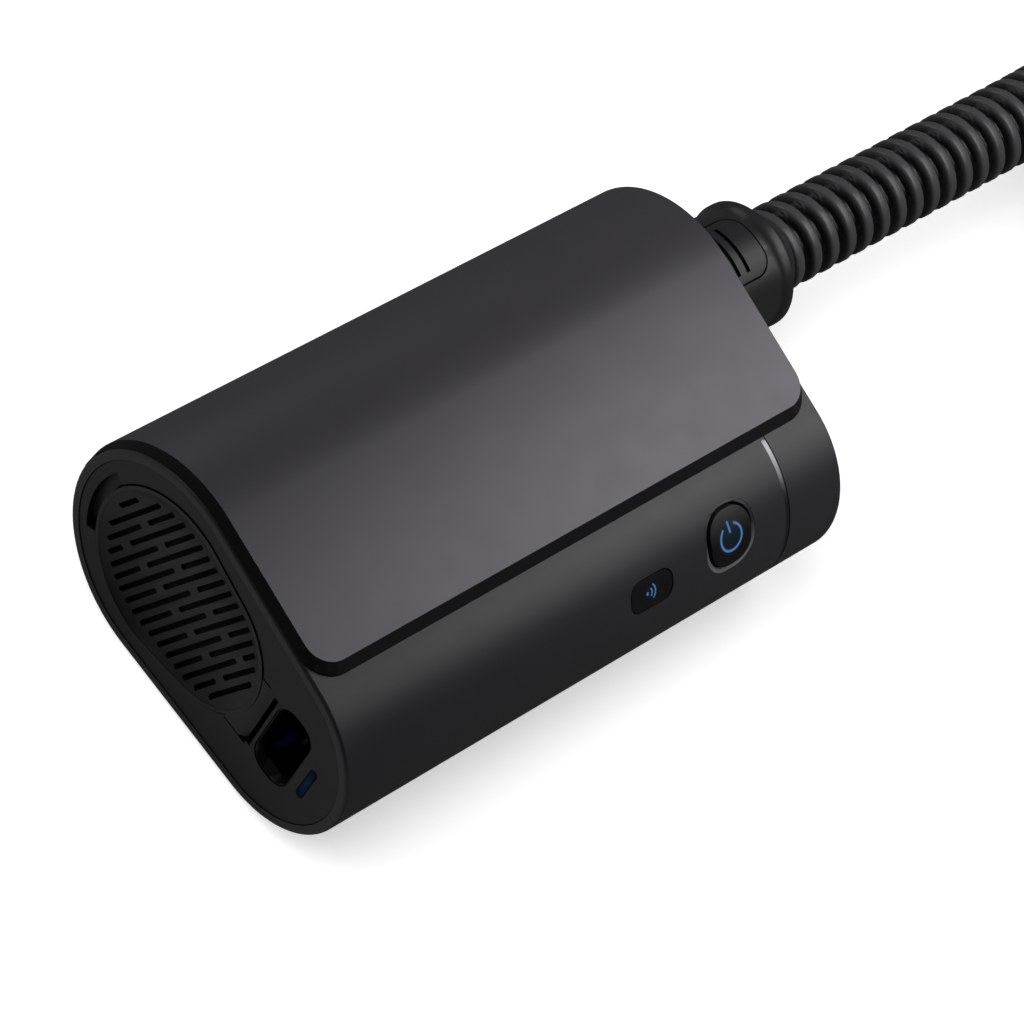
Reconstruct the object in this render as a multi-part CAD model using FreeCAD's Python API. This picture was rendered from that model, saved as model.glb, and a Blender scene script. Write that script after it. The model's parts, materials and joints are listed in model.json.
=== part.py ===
"""Travel-size CPAP machine: housing, filter end, blower, buttons, quick-release outlet and air hose.

The machine stands on its foot pad. X runs along the housing from the filter end to the hose end,
Y runs from the small round front, where the buttons are, to the big round back, and Z is up.
The origin is on the surface it stands on, under the middle of the housing. Sizes are millimetres.
"""

import FreeCAD, Part
import os
from math import acos, asin, atan2, cos, degrees, hypot, pi, radians, sin, sqrt, tan

V = FreeCAD.Vector

# ---- Housing section: two circles and the flats that touch them both ----
BODY_LENGTH = 138.0
LEFT_X = -BODY_LENGTH / 2
RIGHT_X = BODY_LENGTH / 2
BACK_CENTRE = (16.0, 26.4)
BACK_RADIUS = 26.0
FRONT_CENTRE = (-20.0, 23.0)
FRONT_RADIUS = 22.0
WALL = 2.2
RIM_ROUND = 0.8
SPLIT_BACK_Z = 28.0
SPLIT_FRONT_Z = 22.0
SEAM_X = 53.2
SEAM_GAP = 0.25
TRIM_TOP_WIDTH = 1.2
TRIM_LOW_WIDTH = 0.5
TRIM_DEPTH = 0.9
JOINT_GAP = 0.1

# ---- Cover plate over the top and back ----
COVER_RISE = 2.4
COVER_SKIN = 0.8
COVER_SINK = 1.0
COVER_LEFT_X = -68.6
COVER_RIGHT_X = 68.3
COVER_END_BEVEL = 1.1
COVER_FRONT_Y = -23.4
COVER_FRONT_BEVEL = 1.5
COVER_CORNER = 7.0

# ---- Filter end ----
PLATE_THICK = 2.5
PLATE_FACE_X = LEFT_X + 0.2
LEDGE_DEPTH = 1.4
GRILLE_BACK = (14.1, 26.0)
GRILLE_BACK_RADIUS = 20.3
GRILLE_FRONT = (3.1, 25.6)
GRILLE_FRONT_RADIUS = 17.6
GRILLE_GAP = 0.3
GRILLE_LIP = 1.0
GRILLE_SKIRT = 1.6
GRILLE_DEPTH = 5.0
GRILLE_FLOOR = 1.0
GRILLE_FLOOR_THICK = 1.2
DISH_STEPS = [(0.12, 0.0), (0.62, 1.0), (GRILLE_FLOOR, 2.5)]
SLOT_BACK = (15.0, 25.4)
SLOT_BACK_RADIUS = 16.6
SLOT_FRONT = (3.6, 25.0)
SLOT_FRONT_RADIUS = 15.4
SLOT_MIDDLE_Z = 26.0
SLOT_WIDTH = 1.15
SLOT_END_BULGE = 0.3
SLOT_PITCH = 2.72
SLOT_LEAN = 22.0
SLOT_BRIDGE = 2.5
SLOT_BRIDGE_Z = (30.0, 20.9)
SLOT_BRIDGE_DROP = 0.0155
SLOT_COLUMNS = 17
SLOT_FIRST_Y = 32.3
TAB_Y = (-17.0, -11.0)
TAB_Z = (14.0, 32.4)
TAB_CHAMFER = (1.7, 1.0)
LATCH_SLOT = 1.5
NOTCH_WIDTH = 2.6
NOTCH_HALF_ANGLE = 25.0
NOTCH_DEPTH = 1.8

# ---- Power inlet and status light ----
SOCKET_Y = -24.4
SOCKET_Z = 23.3
SOCKET_WIDTH = 10.0
SOCKET_HEIGHT = 20.4
SOCKET_CORNER = 4.2
SOCKET_DEPTH = 12.0
SOCKET_MOUTH_WIDTH = 8.0
SOCKET_MOUTH_HEIGHT = 17.6
LIGHT_Y = -32.6
LIGHT_Z = 22.3
LIGHT_LENGTH = 9.7
LIGHT_WIDTH = 1.8
LIGHT_LEAN = 1.0

# ---- Buttons on the front, on lines through the front circle's centre ----
POWER_X = 36.1
POWER_ANGLE = 42.6
POWER_SIZE = (14.0, 15.0)
POWER_CORNER = 6.0
MOAT_TOP = 0.35
MOAT_TAPER = 0.4
MOAT_FLOOR = 19.9
BEZEL_BACK = 18.5
POWER_CAP = (11.3, 12.3)
POWER_CAP_CORNER = 4.8
POWER_FACE_RADIUS = FRONT_RADIUS + 0.3
POWER_FOOT = (13.0, 14.0)
POWER_FOOT_OUT = 17.0
SYMBOL_RADIUS = 2.95
SYMBOL_STROKE = 0.62
SYMBOL_TURN = 8.0
SYMBOL_DEPTH = 0.35
PAIRING_X = 13.4
PAIRING_ANGLE = 37.3
PAIRING_SIZE = (12.0, 7.3)
PAIRING_CORNER = 3.0
BUTTON_GAP = 0.3
BOARD_ANGLE = 40.4
BOARD_OUT = 10.2

# ---- Foot ----
PAD_X = (-68.2, 51.0)
PAD_Y = (-21.0, 13.0)
PAD_THICK = 1.5
PAD_CORNER = 6.0

# ---- Blower: upright shaft, air in from below, out along X ----
BLOWER_X = -4.0
BLOWER_Y = 3.0
BLOWER_Z = 26.4
SCROLL_START = 17.0
SCROLL_GROWTH = 3.0
SCROLL_HEIGHT = 18.0
SCROLL_WALL = 1.5
SCROLL_OUTLET_X = 22.0
SCROLL_OUTLET_WIDTH = 14.0
EYE_RADIUS = 8.0
WHEEL_RADIUS = 15.0
BLADES = 11
SHAFT_RADIUS = 1.5
SHAFT_CLEARANCE = 0.03
MOTOR_RADIUS = 11.0

# ---- Outlet and hose connector, on the back circle's axis ----
OUTLET_Y, OUTLET_Z = BACK_CENTRE
CUP_RADIUS = 14.2
CUP_DEPTH = 11.0
NOZZLE_RADIUS = 8.5
NOZZLE_BORE = 7.0
CONNECTOR_START_X = 60.0
CONNECTOR_RADIUS = 13.4
FLANGE_RADIUS = 14.2
FLANGE_X = 94.5
COLLAR_END_X = 99.5
RELEASE_X = (75.0, 89.5)
RELEASE_HALF_ANGLE = 35.0
RELEASE_CORNER = 4.0
RELEASE_POCKET = 3.0
RELEASE_GAP = 0.35
RELEASE_THICK = 1.8
RELEASE_SLOTS = (83.2, 80.4)

# ---- Hose: straight out of the collar, down to the floor, then a neat coil ----
HOSE_DIAMETER = 19.0
HOSE_REST_Z = 9.7
ROUTE = [
    (COLLAR_END_X, OUTLET_Y, OUTLET_Z),
    (197.3, OUTLET_Y, OUTLET_Z),
    (246.5, 24.68, HOSE_REST_Z),
    (281.0, 30.76, HOSE_REST_Z),
]
COIL_START_ANGLE = 90.0 + degrees(atan2(ROUTE[-1][1] - ROUTE[-2][1], ROUTE[-1][0] - ROUTE[-2][0]))
COIL_RADIUS = 97.5
COIL_TURNS = 2.6875
COIL_RISE = 19.3
CUFF_LENGTH = 38.0
CUFF_RADIUS = 13.5
CUFF_BORE = 11.0
CUFF_BORE_LENGTH = 20.0
CUFF_Z = 65.6


def box(x0, x1, y0, y1, z0, z1):
    """Box between two corners."""
    return Part.makeBox(x1 - x0, y1 - y0, z1 - z0, V(x0, y0, z0))


def rod(radius, start, direction, length):
    """Round bar from start along direction."""
    return Part.makeCylinder(radius, length, V(*start), V(*direction))


def two_circle_wire(x, first, first_radius, second, second_radius):
    """Outline round two circles in the plane at x: an arc of each and the two outer tangents."""
    toward = atan2(second[1] - first[1], second[0] - first[0])
    gap = hypot(second[0] - first[0], second[1] - first[1])
    opening = acos((first_radius - second_radius) / gap)

    def at(centre, radius, angle):
        return V(x, centre[0] + radius * cos(angle), centre[1] + radius * sin(angle))

    a0 = at(first, first_radius, toward + opening)
    a1 = at(first, first_radius, toward + pi)
    a2 = at(first, first_radius, toward - opening)
    b0 = at(second, second_radius, toward - opening)
    b1 = at(second, second_radius, toward)
    b2 = at(second, second_radius, toward + opening)
    edges = [
        Part.Arc(a0, a1, a2).toShape(),
        Part.LineSegment(a2, b0).toShape(),
        Part.Arc(b0, b1, b2).toShape(),
        Part.LineSegment(b2, a0).toShape(),
    ]
    return Part.Wire(edges)


def section_wire(x, inset=0.0, lift=0.0):
    """The housing's outline at x, moved inwards by inset and up by lift."""
    back = (BACK_CENTRE[0], BACK_CENTRE[1] + lift)
    front = (FRONT_CENTRE[0], FRONT_CENTRE[1] + lift)
    return two_circle_wire(x, back, BACK_RADIUS - inset, front, FRONT_RADIUS - inset)


def section_bar(x0, x1, inset=0.0, lift=0.0):
    """Bar of the housing's section from x0 to x1."""
    return Part.Face(section_wire(x0, inset, lift)).extrude(V(x1 - x0, 0, 0))


def grille_bar(x0, x1, inset):
    """Bar of the filter cover's oval from x0 to x1, moved inwards by inset."""
    wire = two_circle_wire(
        x0,
        GRILLE_BACK,
        GRILLE_BACK_RADIUS - inset,
        GRILLE_FRONT,
        GRILLE_FRONT_RADIUS - inset,
    )
    return Part.Face(wire).extrude(V(x1 - x0, 0, 0))


def grille_wire(x, inset):
    """The filter cover's oval at x, moved inwards by inset."""
    return two_circle_wire(
        x,
        GRILLE_BACK,
        GRILLE_BACK_RADIUS - inset,
        GRILLE_FRONT,
        GRILLE_FRONT_RADIUS - inset,
    )


def rounded_wire(width, height, corner, z):
    """Rounded rectangle about the Z axis, at height z."""
    w = width / 2
    h = height / 2
    k = corner * (1 - sqrt(0.5))
    edges = []
    for sx, sy in ((1, 1), (-1, 1), (-1, -1), (1, -1)):
        side = V(sx * w, sy * (h - corner), z)
        middle = V(sx * (w - k), sy * (h - k), z)
        top = V(sx * (w - corner), sy * h, z)
        arc = (side, middle, top) if sx * sy > 0 else (top, middle, side)
        edges.append(Part.Arc(*arc).toShape())
    edges.append(Part.LineSegment(V(w - corner, h, z), V(corner - w, h, z)).toShape())
    edges.append(Part.LineSegment(V(-w, h - corner, z), V(-w, corner - h, z)).toShape())
    edges.append(Part.LineSegment(V(corner - w, -h, z), V(w - corner, -h, z)).toShape())
    edges.append(Part.LineSegment(V(w, corner - h, z), V(w, h - corner, z)).toShape())
    return Part.Wire(Part.__sortEdges__(edges))


def rounded_bar(width, height, corner, depth):
    """Bar with a rounded rectangle for its section: width on X, height on Y, rising on Z."""
    return Part.Face(rounded_wire(width, height, corner, 0.0)).extrude(V(0, 0, depth))


def on_front(shape, x, angle, out):
    """Carry a shape made about Z to the housing's front, its Z pointing out at angle."""
    normal = V(0, -cos(radians(angle)), sin(radians(angle)))
    along = V(1, 0, 0)
    across = normal.cross(along)
    centre = V(x, FRONT_CENTRE[0], FRONT_CENTRE[1]) + normal * out
    turn = FreeCAD.Rotation(along, across, normal, "ZXY")
    moved = shape.copy()
    moved.Placement = FreeCAD.Placement(centre, turn).multiply(moved.Placement)
    return moved


def facing_left(shape, y, z, x, lean=0.0):
    """Carry a shape made about Z to the filter end, its Z pointing in along +X."""
    turn = FreeCAD.Rotation(V(0, 1, 0), V(0, 0, 1), V(1, 0, 0), "ZXY")
    moved = shape.copy()
    tilt = FreeCAD.Placement(V(0, 0, 0), FreeCAD.Rotation(V(0, 0, 1), lean))
    moved.Placement = FreeCAD.Placement(V(x, y, z), turn).multiply(tilt)
    return moved


def split_half(upper):
    """The space above or below the shells' parting plane, which slopes up to the back."""
    reach = 60.0
    slope = (SPLIT_BACK_Z - SPLIT_FRONT_Z) / (BACK_RADIUS + FRONT_RADIUS + 36.0)
    middle = (SPLIT_BACK_Z + SPLIT_FRONT_Z) / 2
    gap = JOINT_GAP / 2 if upper else -JOINT_GAP / 2
    near = middle - slope * reach + gap
    far = middle + slope * reach + gap
    end = 90.0 if upper else -30.0
    corners = [V(-90, -reach, near), V(-90, reach, far), V(-90, reach, end), V(-90, -reach, end)]
    return Part.Face(Part.makePolygon(corners + corners[:1])).extrude(V(180, 0, 0))


def end_edges(shape, x):
    """The edges of a shape that lie in the plane at x."""
    return [e for e in shape.Edges if abs(e.BoundBox.XMin - x) < 1e-4 and abs(e.BoundBox.XMax - x) < 1e-4]


def top_flat():
    """Lean of the flat on top of the section, in radians, and its height at the cover's front edge."""
    run = BACK_CENTRE[0] - FRONT_CENTRE[0]
    rise = BACK_CENTRE[1] - FRONT_CENTRE[1]
    lean = atan2(rise, run) + asin((BACK_RADIUS - FRONT_RADIUS) / hypot(run, rise))
    touch_y = FRONT_CENTRE[0] - FRONT_RADIUS * sin(lean)
    touch_z = FRONT_CENTRE[1] + FRONT_RADIUS * cos(lean)
    return lean, touch_z + (COVER_FRONT_Y - touch_y) * tan(lean)


def cover_front(low, high, rim, inset=0.0):
    """Space inside the cover's front edge, square to the flat. With rim, it has the bevel's slope."""
    lean, edge_z = top_flat()
    thick = COVER_RISE * cos(lean)

    def outline(height):
        up = height / thick if rim else 1.0
        y = COVER_FRONT_BEVEL * up + inset
        left = COVER_LEFT_X + COVER_END_BEVEL * up
        right = COVER_RIGHT_X - COVER_END_BEVEL * up
        r = COVER_CORNER - (COVER_FRONT_BEVEL - 0.3) * up
        k = r * (1 - sqrt(0.5))
        back = COVER_CORNER + 0.5
        points = [
            V(left, back, height),
            V(left, y + r, height),
            V(left + k, y + k, height),
            V(left + r, y, height),
            V(right - r, y, height),
            V(right - k, y + k, height),
            V(right, y + r, height),
            V(right, back, height),
        ]
        return Part.Wire(
            [
                Part.LineSegment(points[0], points[1]).toShape(),
                Part.Arc(points[1], points[2], points[3]).toShape(),
                Part.LineSegment(points[3], points[4]).toShape(),
                Part.Arc(points[4], points[5], points[6]).toShape(),
                Part.LineSegment(points[6], points[7]).toShape(),
                Part.LineSegment(points[7], points[0]).toShape(),
            ]
        )

    return Part.makeLoft([outline(low), outline(high)], True, True)


def cover_trimmer(rim, inset=0.0):
    """What is cut off the cover's blank at its front edge and its two front corners."""
    lean, edge_z = top_flat()
    waste = box(-80, 80, -40, COVER_CORNER, -40, 3.5).cut(cover_front(-3.0, 3.5, rim, inset))
    turn = FreeCAD.Rotation(V(1, 0, 0), degrees(lean))
    waste.Placement = FreeCAD.Placement(V(0, COVER_FRONT_Y, edge_z), turn)
    return waste


def pad_bar(z0, z1, grow=0.0):
    """The foot pad's rounded outline between two heights."""
    width = PAD_X[1] - PAD_X[0] + 2 * grow
    depth = PAD_Y[1] - PAD_Y[0] + 2 * grow
    bar = rounded_bar(width, depth, PAD_CORNER, z1 - z0)
    bar.translate(V((PAD_X[0] + PAD_X[1]) / 2, (PAD_Y[0] + PAD_Y[1]) / 2, z0))
    return bar


def cover_recess():
    """The shallow step that the cover frame sinks into."""
    left = COVER_LEFT_X + COVER_END_BEVEL
    right = COVER_RIGHT_X - COVER_END_BEVEL
    ring = section_bar(left, right, -6.0).cut(section_bar(left - 1, right + 1, COVER_SINK))
    ring = ring.common(box(-80, 80, COVER_FRONT_Y - 2.0, 80, -10, 80))
    return ring.common(split_half(True)).cut(cover_trimmer(False))


def shell_tube():
    """The shells' common wall, open at both ends, with its rounded rim and the plate's ledge."""
    outer = section_bar(LEFT_X, SEAM_X)
    outer = outer.makeFillet(RIM_ROUND, end_edges(outer, LEFT_X))
    tube = outer.cut(section_bar(LEFT_X - 1, SEAM_X + 1, WALL))
    ledge_x = PLATE_FACE_X + PLATE_THICK
    ledge = section_bar(ledge_x, ledge_x + LEDGE_DEPTH, WALL - 0.5)
    ledge = ledge.cut(section_bar(ledge_x - 1, ledge_x + 3, WALL + 1.6))
    return tube.fuse(ledge).removeSplitter()


SCREW_PLACES = [(-58.0, -14.0), (-58.0, 10.0), (44.0, -15.0), (44.0, 1.0)]
BOSS_RADIUS = 3.2
SCREW_RADIUS = 1.0
BOSS_TOP_Z = 24.0
POST_ANGLES = (130.0, 215.0, 325.0)
POST_REACH = 21.5
POST_PLACES = [
    (BLOWER_X + POST_REACH * cos(radians(a)), BLOWER_Y + POST_REACH * sin(radians(a)))
    for a in POST_ANGLES
]
BOARD_STANDS = [(-36.0, -26.0), (36.0, -26.0)]


def make_lower_shell():
    """Lower shell with foot recess, screw bosses, floor ribs and posts for the blower."""
    shell = shell_tube().common(split_half(False))
    inside = section_bar(LEFT_X + 5, SEAM_X - 0.5, WALL - 0.4)
    for x, y in SCREW_PLACES:
        shell = shell.fuse(rod(BOSS_RADIUS, (x, y, 1.2), (0, 0, 1), BOSS_TOP_Z - 1.2).common(inside))
    for x, y in POST_PLACES:
        shell = shell.fuse(rod(2.6, (x, y, 1.5), (0, 0, 1), 13.4).common(inside))
        shell = shell.fuse(rod(1.4, (x, y, 14.0), (0, 0, 1), 7.0))
    for x in (-44.0, -31.0, 30.0):
        rib = box(x, x + 1.2, -30.0, 26.0, 0.0, 7.0).common(inside)
        shell = shell.fuse(rib)
    for x, y in BOARD_STANDS:
        shell = shell.fuse(rod(2.0, (x, y, 1.0), (0, 0, 1), 9.0).common(inside))
    shell = shell.cut(pad_bar(-1.0, PAD_THICK))
    for x, y in SCREW_PLACES:
        shell = shell.cut(rod(1.3, (x, y, 0.0), (0, 0, 1), BOSS_TOP_Z + 1.0))
        shell = shell.cut(rod(2.2, (x, y, 0.0), (0, 0, 1), 3.2))
    return shell.removeSplitter()


def make_upper_shell():
    """Upper shell with the cover's step, the button openings and screw pillars."""
    shell = shell_tube().common(split_half(True))
    inside = section_bar(LEFT_X + 5, SEAM_X - 0.5, WALL - 0.4)
    for x, y in SCREW_PLACES:
        shell = shell.fuse(rod(BOSS_RADIUS, (x, y, BOSS_TOP_Z + 0.1), (0, 0, 1), 35.0).common(inside))
        shell = shell.cut(rod(SCREW_RADIUS, (x, y, BOSS_TOP_Z), (0, 0, 1), 12.0))
    shell = shell.cut(cover_recess())
    power = rounded_bar(POWER_SIZE[0], POWER_SIZE[1], POWER_CORNER, 12.0)
    shell = shell.cut(on_front(power, POWER_X, POWER_ANGLE, 14.0))
    pairing = rounded_bar(PAIRING_SIZE[0], PAIRING_SIZE[1], PAIRING_CORNER, 12.0)
    shell = shell.cut(on_front(pairing, PAIRING_X, PAIRING_ANGLE, 14.0))
    shell = shell.cut(trim_space(0.01))
    return shell.removeSplitter()


def make_outlet_end_cap():
    """End cap with its skirt inside the shells, its end wall and the hole for the outlet cup."""
    start = SEAM_X + SEAM_GAP
    outer = section_bar(start, RIGHT_X)
    outer = outer.makeFillet(RIM_ROUND, end_edges(outer, RIGHT_X))
    cap = outer.cut(section_bar(start - 1, RIGHT_X - 2.6, WALL))
    skirt = section_bar(SEAM_X - 4.0, start + 2.0, WALL + 0.15)
    skirt = skirt.cut(section_bar(SEAM_X - 5.0, start + 3.0, WALL + 1.5))
    step = section_bar(start + 0.5, start + 2.0, WALL - 0.3)
    step = step.cut(section_bar(start - 5.0, start + 3.0, WALL + 1.5))
    cap = cap.fuse(skirt).fuse(step)
    cap = cap.cut(cover_recess())
    cap = cap.cut(rod(CUP_RADIUS + 1.6, (60.0, OUTLET_Y, OUTLET_Z), (1, 0, 0), 20.0))
    return cap.removeSplitter()


def make_seam_trim():
    """Bright trim let into the end of the shells, broad beside the cover and narrow lower down."""
    return trim_space(0.0)


def trim_space(clear):
    """Tapering half-ring in the shells' end face, in front of the cover, with room all round if clear."""
    start = SEAM_X - TRIM_TOP_WIDTH - 1
    ring = section_bar(start, SEAM_X + clear, -clear)
    ring = ring.cut(section_bar(start - 1, SEAM_X + 1, TRIM_DEPTH + clear))
    top_z = FRONT_CENTRE[1] + FRONT_RADIUS
    corners = [
        V(SEAM_X - TRIM_LOW_WIDTH - clear, -60, SPLIT_FRONT_Z),
        V(SEAM_X - TRIM_TOP_WIDTH - clear, -60, top_z),
        V(SEAM_X + 1, -60, top_z),
        V(SEAM_X + 1, -60, SPLIT_FRONT_Z),
    ]
    wedge = Part.Face(Part.makePolygon(corners + corners[:1])).extrude(V(0, 60 + COVER_FRONT_Y - 0.4, 0))
    return ring.common(wedge).common(split_half(True))


def make_cover_blank():
    """The cover's outer form: raised section with bevelled ends, trimmed to its front outline."""
    left_top = COVER_LEFT_X + COVER_END_BEVEL
    right_top = COVER_RIGHT_X - COVER_END_BEVEL
    wires = [
        section_wire(COVER_LEFT_X),
        section_wire(left_top, 0.0, COVER_RISE),
        section_wire(right_top, 0.0, COVER_RISE),
        section_wire(COVER_RIGHT_X),
    ]
    blank = Part.makeLoft(wires, True, True)
    return blank.common(split_half(True)).cut(cover_trimmer(True))


def make_cover_skin_space():
    """Space of the metallic skin: the top layer inside the bevel."""
    left_top = COVER_LEFT_X + COVER_END_BEVEL
    right_top = COVER_RIGHT_X - COVER_END_BEVEL
    layer = section_bar(left_top, right_top, 0.0, COVER_RISE)
    below = section_bar(left_top - 1, right_top + 1, COVER_SKIN / 2, COVER_RISE - COVER_SKIN / 2)
    front = box(-80, 80, COVER_FRONT_Y, 80, -10, 80)
    return layer.cut(below).common(split_half(True)).common(front).cut(cover_trimmer(False))


def make_top_cover():
    """Metallic skin over the top and back."""
    return make_cover_skin_space().removeSplitter()


def make_cover_frame():
    """Black frame that carries the skin and shows as its bevelled edge."""
    body = section_bar(COVER_LEFT_X - 1, COVER_RIGHT_X + 1, 0.0)
    raised = make_cover_blank().cut(body)
    step = cover_recess().common(section_bar(LEFT_X, RIGHT_X, 0.0)).cut(cover_trimmer(False, 0.1))
    frame = raised.fuse(step).cut(make_cover_skin_space())
    return frame.removeSplitter()


# ---- Filter end ----


def tab_space(grow):
    """The latch tab's outline as a bar, moved outwards by grow."""
    return box(-75.0, -60.0, TAB_Y[0] - grow, TAB_Y[1], TAB_Z[0] - grow, TAB_Z[1] + grow)


def finger_notch():
    """Blind crescent beside the filter cover, where a finger lifts it."""
    centre = (-75.0, GRILLE_BACK[0], GRILLE_BACK[1])
    depth = PLATE_FACE_X + NOTCH_DEPTH - centre[0]
    outer = rod(GRILLE_BACK_RADIUS + GRILLE_GAP + NOTCH_WIDTH, centre, (1, 0, 0), depth)
    inner = rod(GRILLE_BACK_RADIUS - 1.0, centre, (1, 0, 0), depth)
    reach = 40.0
    rise = reach * tan(radians(NOTCH_HALF_ANGLE))
    corners = [
        V(*centre),
        V(centre[0], centre[1] + reach, centre[2] - rise),
        V(centre[0], centre[1] + reach, centre[2] + rise),
    ]
    wedge = Part.Face(Part.makePolygon(corners + corners[:1])).extrude(V(depth, 0, 0))
    return outer.cut(inner).common(wedge)


def make_inlet_end_plate():
    """End plate inside the shells' rim, open for the filter cover, the socket and the light."""
    plate = section_bar(PLATE_FACE_X, PLATE_FACE_X + PLATE_THICK, WALL + JOINT_GAP)
    plate = plate.cut(grille_bar(-75.0, -60.0, -GRILLE_GAP))
    plate = plate.cut(tab_space(LATCH_SLOT * 0.25))
    plate = plate.cut(box(-75.0, -60.0, TAB_Y[0] - LATCH_SLOT, TAB_Y[1], TAB_Z[0] + 0.6, TAB_Z[1] - 0.6))
    plate = plate.cut(finger_notch())
    socket = rounded_bar(SOCKET_WIDTH + 0.2, SOCKET_HEIGHT + 0.2, SOCKET_CORNER + 0.1, 12.0)
    plate = plate.cut(facing_left(socket, SOCKET_Y, SOCKET_Z, -75.0))
    light = rounded_bar(LIGHT_WIDTH + 0.1, LIGHT_LENGTH + 0.1, 0.9, 12.0)
    plate = plate.cut(facing_left(light, LIGHT_Y, LIGHT_Z, -75.0, LIGHT_LEAN))
    return plate.removeSplitter()


def slot_bar(y, low, high):
    """One leaning slot with rounded ends, on the column that crosses the grille's middle height at y."""
    lean = radians(SLOT_LEAN)
    along = V(0, -sin(lean), cos(lean))
    across = V(0, cos(lean), sin(lean)) * (SLOT_WIDTH / 2)
    middle = V(-75.0, y, SLOT_MIDDLE_Z)
    cap = along * SLOT_END_BULGE
    start = middle + along * ((low - SLOT_MIDDLE_Z) / cos(lean)) + cap
    end = middle + along * ((high - SLOT_MIDDLE_Z) / cos(lean)) - cap
    edges = [
        Part.LineSegment(start + across, end + across).toShape(),
        Part.Arc(end + across, end + cap, end - across).toShape(),
        Part.LineSegment(end - across, start - across).toShape(),
        Part.Arc(start - across, start - cap, start + across).toShape(),
    ]
    return Part.Face(Part.Wire(edges)).extrude(V(15.0, 0, 0))


def slot_bars():
    """All slots: leaning columns inside an oval, each but the end ones broken by a bridge.

    The bridges lie at one of two heights by turns, and drop a little more with each column.
    """
    area = Part.Face(two_circle_wire(-75.0, SLOT_BACK, SLOT_BACK_RADIUS, SLOT_FRONT, SLOT_FRONT_RADIUS))
    lean = radians(SLOT_LEAN)
    bars = []
    for column in range(SLOT_COLUMNS):
        y = SLOT_FIRST_Y - SLOT_PITCH * column
        middle = V(-75.0, y, SLOT_MIDDLE_Z)
        along = V(0, -sin(lean), cos(lean)) * 40.0
        inside = Part.LineSegment(middle - along, middle + along).toShape().common(area)
        low = inside.BoundBox.ZMin
        high = inside.BoundBox.ZMax
        if column < 2 or column == SLOT_COLUMNS - 1:
            bars.append(slot_bar(y, low, high))
            continue
        bridge = SLOT_BRIDGE_Z[column % 2] - SLOT_BRIDGE_DROP * (column - 2) ** 2
        bars.append(slot_bar(y, low, bridge - SLOT_BRIDGE / 2))
        bars.append(slot_bar(y, bridge + SLOT_BRIDGE / 2, high))
    return bars


def make_filter_cover():
    """Filter cover: lip, dished floor with slots, a skirt behind it and the chamfered latch tab."""
    cover = grille_bar(LEFT_X, LEFT_X + GRILLE_DEPTH, 0.0)
    back = PLATE_FACE_X + 1.8
    corners = [
        V(PLATE_FACE_X, TAB_Y[1], TAB_Z[0]),
        V(PLATE_FACE_X, TAB_Y[0] + TAB_CHAMFER[0], TAB_Z[0]),
        V(PLATE_FACE_X + TAB_CHAMFER[1], TAB_Y[0], TAB_Z[0]),
        V(back, TAB_Y[0], TAB_Z[0]),
        V(back, TAB_Y[1], TAB_Z[0]),
    ]
    tab = Part.Face(Part.makePolygon(corners + corners[:1])).extrude(V(0, 0, TAB_Z[1] - TAB_Z[0]))
    cover = cover.fuse(tab)
    dish = [grille_wire(LEFT_X - 0.1, GRILLE_LIP - 0.1)]
    dish += [grille_wire(LEFT_X + depth, GRILLE_LIP + inset) for depth, inset in DISH_STEPS]
    cover = cover.cut(Part.makeLoft(dish, True, True))
    cover = cover.cut(grille_bar(LEFT_X + GRILLE_FLOOR + GRILLE_FLOOR_THICK, -60.0, GRILLE_SKIRT))
    cover = cover.cut(Part.makeCompound(slot_bars()))
    return cover.removeSplitter()


def make_air_filter():
    """Filter pad held in the cover's skirt."""
    start = LEFT_X + GRILLE_FLOOR + GRILLE_FLOOR_THICK + 0.3
    return grille_bar(start, start + 2.4, GRILLE_SKIRT + 0.2)


def make_inlet_foam():
    """Acoustic foam block behind the filter, with the air passage through it."""
    block = box(-54.0, -33.0, -11.0, 36.0, 8.0, 46.0).common(section_bar(-60.0, -30.0, 6.0))
    block = block.cut(rod(8.0, (-60.0, 12.0, 26.0), (1, 0, 0), 40.0))
    return block


# ---- Power inlet and status light ----


def make_power_socket():
    """Power socket: sloping mouth, deep well and a flange behind the end plate."""
    face = PLATE_FACE_X + 0.3
    body = rounded_bar(SOCKET_WIDTH, SOCKET_HEIGHT, SOCKET_CORNER, SOCKET_DEPTH)
    body = facing_left(body, SOCKET_Y, SOCKET_Z, face)
    flange_x = PLATE_FACE_X + PLATE_THICK + 0.1
    flange = rounded_bar(SOCKET_WIDTH + 2.4, SOCKET_HEIGHT + 2.4, SOCKET_CORNER + 1.0, 1.2)
    body = body.fuse(facing_left(flange, SOCKET_Y, SOCKET_Z, flange_x))
    mouth = Part.makeLoft(
        [
            rounded_wire(SOCKET_WIDTH - 0.2, SOCKET_HEIGHT - 0.2, SOCKET_CORNER - 0.1, -0.01),
            rounded_wire(SOCKET_MOUTH_WIDTH, SOCKET_MOUTH_HEIGHT, 2.2, 1.7),
        ],
        True,
        True,
    )
    well = rounded_bar(SOCKET_MOUTH_WIDTH, SOCKET_MOUTH_HEIGHT, 2.2, SOCKET_DEPTH - 1.5)
    body = body.cut(facing_left(mouth, SOCKET_Y, SOCKET_Z, face))
    return body.cut(facing_left(well, SOCKET_Y, SOCKET_Z, face)).removeSplitter()


def make_socket_contacts():
    """Three contact blades that stand on the socket's floor."""
    floor = PLATE_FACE_X + 0.3 + SOCKET_DEPTH - 1.5
    blades = []
    for z in (-5.0, 0.0, 5.0):
        low = SOCKET_Z + z - 1.2
        blades.append(box(floor - 2.6, floor, SOCKET_Y - 0.4, SOCKET_Y + 0.4, low, low + 2.4))
    return Part.makeCompound(blades)


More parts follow.
